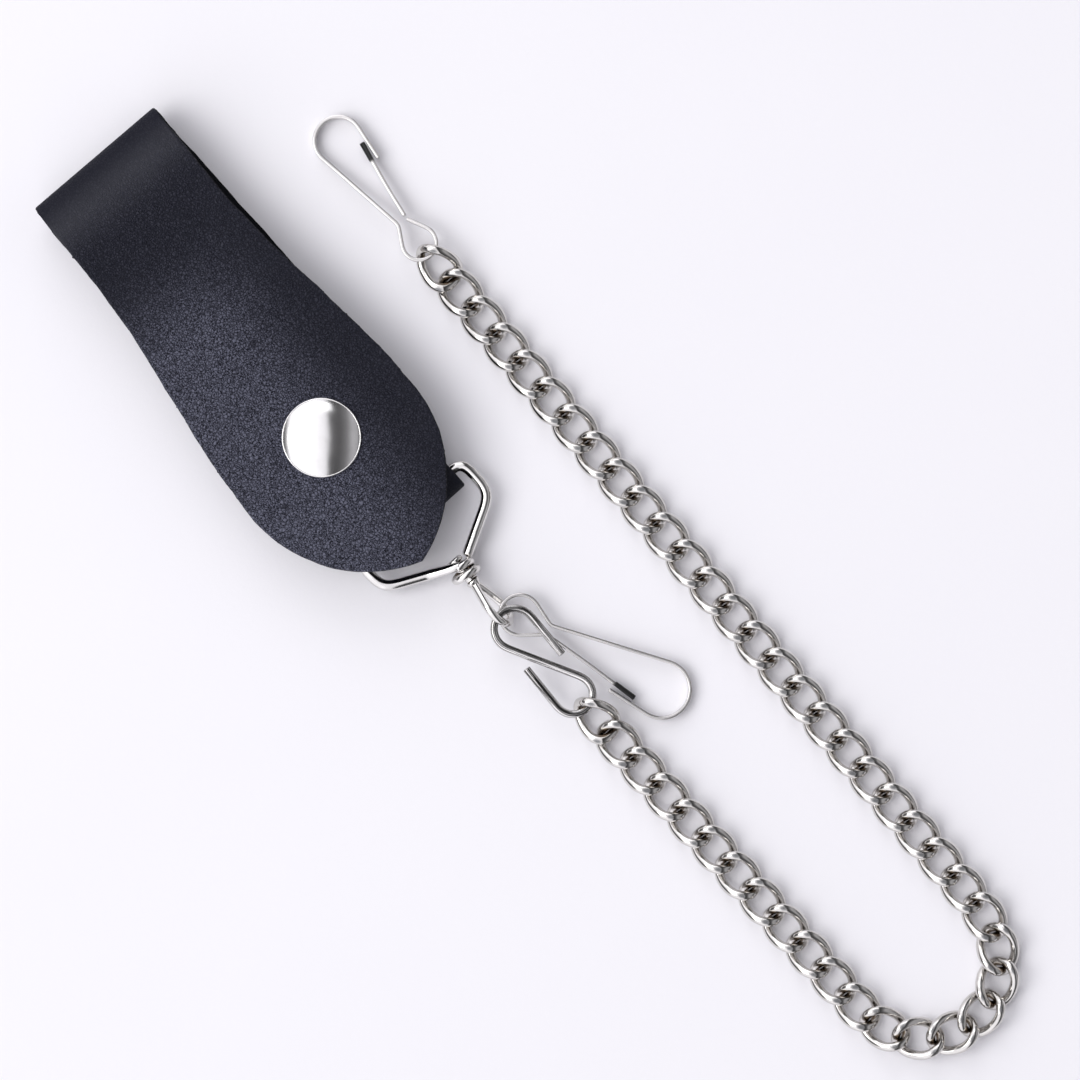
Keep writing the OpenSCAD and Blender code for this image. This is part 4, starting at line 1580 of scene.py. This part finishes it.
@dataclass
class Studio:
    """White card, soft lights and the camera, in metres.

    Attributes:
        distance: Height of the camera.
        view_width: Width of the floor that it sees.
        view_turn: Its turn about the vertical, in degrees.
        centre: The place that it looks at.
        card: Half the width of the card.
        card_drop: How far the card lies under height 0.
        toward: The level direction along which the room's brightness changes.
        room_stops: Places from 0, facing away from that direction, to 1, facing it, with the
            room's brightness there.
    """

    distance: float = 1.3
    view_width: float = 0.2077
    view_turn: float = 50.8
    centre: tuple[float, float] = (-0.0090, 0.00745)
    card: float = 3.0
    card_drop: float = 5e-5
    toward: Triple = (-0.632, -0.775, 0.0)
    room_stops: tuple[tuple[float, float], ...] = (
        ((0.0, 0.06), (0.05, 0.42), (0.13, 0.48), (0.2, 0.2), (0.3, 0.08), (0.42, 0.07))
        + ((0.455, 1.0), (0.53, 1.12), (0.62, 1.35), (0.9, 1.3), (0.95, 0.25), (1.0, 0.04))
    )
    key: SoftBox = SoftBox("key", (-0.45, -0.62, 0.95), (0.75, 0.75), 5.2, (1.0, 0.995, 0.98))
    fill: SoftBox = SoftBox("fill", (-0.9, 0.5, 0.8), (0.9, 0.5), 1.6, (0.96, 0.97, 1.0))

    def floor(self) -> None:
        """Lays the card just under the object."""
        mesh = bpy.data.meshes.new("card")
        corners = [(-1, -1), (1, -1), (1, 1), (-1, 1)]
        verts = [(x * self.card, y * self.card, -self.card_drop) for x, y in corners]
        mesh.from_pydata(verts, [], [(0, 1, 2, 3)])
        mesh.materials.append(Finish.CARD.material())
        card = bpy.data.objects.new("card", mesh)
        bpy.context.scene.collection.objects.link(card)

    def room(self) -> None:
        """Sets up the room that the metal mirrors: bright on the key light's half, dim on the other."""
        world = bpy.data.worlds.new("room")
        bpy.context.scene.world = world
        world.use_nodes = True
        tree = world.node_tree
        tree.nodes.clear()
        out = tree.nodes.new("ShaderNodeOutputWorld")
        sky = tree.nodes.new("ShaderNodeBackground")
        ramp = tree.nodes.new("ShaderNodeValToRGB")
        dot = tree.nodes.new("ShaderNodeVectorMath")
        where = tree.nodes.new("ShaderNodeTexCoord")
        dot.operation = "DOT_PRODUCT"
        dot.inputs[1].default_value = self.toward
        shift = tree.nodes.new("ShaderNodeMath")
        shift.operation = "MULTIPLY_ADD"
        shift.inputs[1].default_value = shift.inputs[2].default_value = 0.5
        tree.links.new(where.outputs["Generated"], dot.inputs[0])
        tree.links.new(dot.outputs["Value"], shift.inputs[0])
        tree.links.new(shift.outputs[0], ramp.inputs[0])
        while len(ramp.color_ramp.elements) < len(self.room_stops):
            ramp.color_ramp.elements.new(0.5)
        for element, (place, value) in zip(ramp.color_ramp.elements, self.room_stops):
            element.position = place
            element.color = (value * 0.99, value * 0.98, value * 1.03, 1)
        tree.links.new(ramp.outputs[0], sky.inputs["Color"])
        sky.inputs["Strength"].default_value = 1.0
        tree.links.new(sky.outputs[0], out.inputs[0])

    def camera(self) -> None:
        """Sets the camera straight above, turned as the object is seen."""
        data = bpy.data.cameras.new("camera")
        data.sensor_width = 36.0
        data.lens = data.sensor_width * self.distance / self.view_width
        data.clip_start, data.clip_end = 0.05, 20.0
        eye = bpy.data.objects.new("camera", data)
        turn = Matrix.Rotation(math.radians(self.view_turn), 4, "Z")
        eye.matrix_world = Matrix.Translation((self.centre[0], self.centre[1], self.distance)) @ turn
        bpy.context.scene.collection.objects.link(eye)
        bpy.context.scene.camera = eye

    def build(self) -> None:
        """Sets up floor, lights, room and camera."""
        self.floor()
        self.room()
        self.camera()
        self.key.build()
        self.fill.build()
        bpy.context.scene.view_settings.view_transform = "Standard"


def main() -> None:
    """Builds every sub-assembly in order and reports each piece."""
    logging.basicConfig(level=logging.INFO, format="%(message)s")
    Studio().build()
    parts: dict[str, Callable[[], list[bpy.types.Object]]] = {
        "belt loop": BeltLoop().build,
        "snap": Snap().build,
        "ring and swivel": RingAndSwivel().build,
        "S-hook": SHook().build,
        "first clip": SpringClip("clip_a", 30.8, 5.5, 3.9, 2.75, 23.0).build,
        "second clip": SpringClip("clip_b", 25.3, 4.6, 3.3, 4.45, 179.0).build,
        "chain": CurbChain().build,
    }
    for title, build in parts.items():
        pieces = build()
        LOG.info("%s: %d piece(s), %s", title, len(pieces), ", ".join(p.name for p in pieces[:4]))


if __name__ == "__main__":
    main()
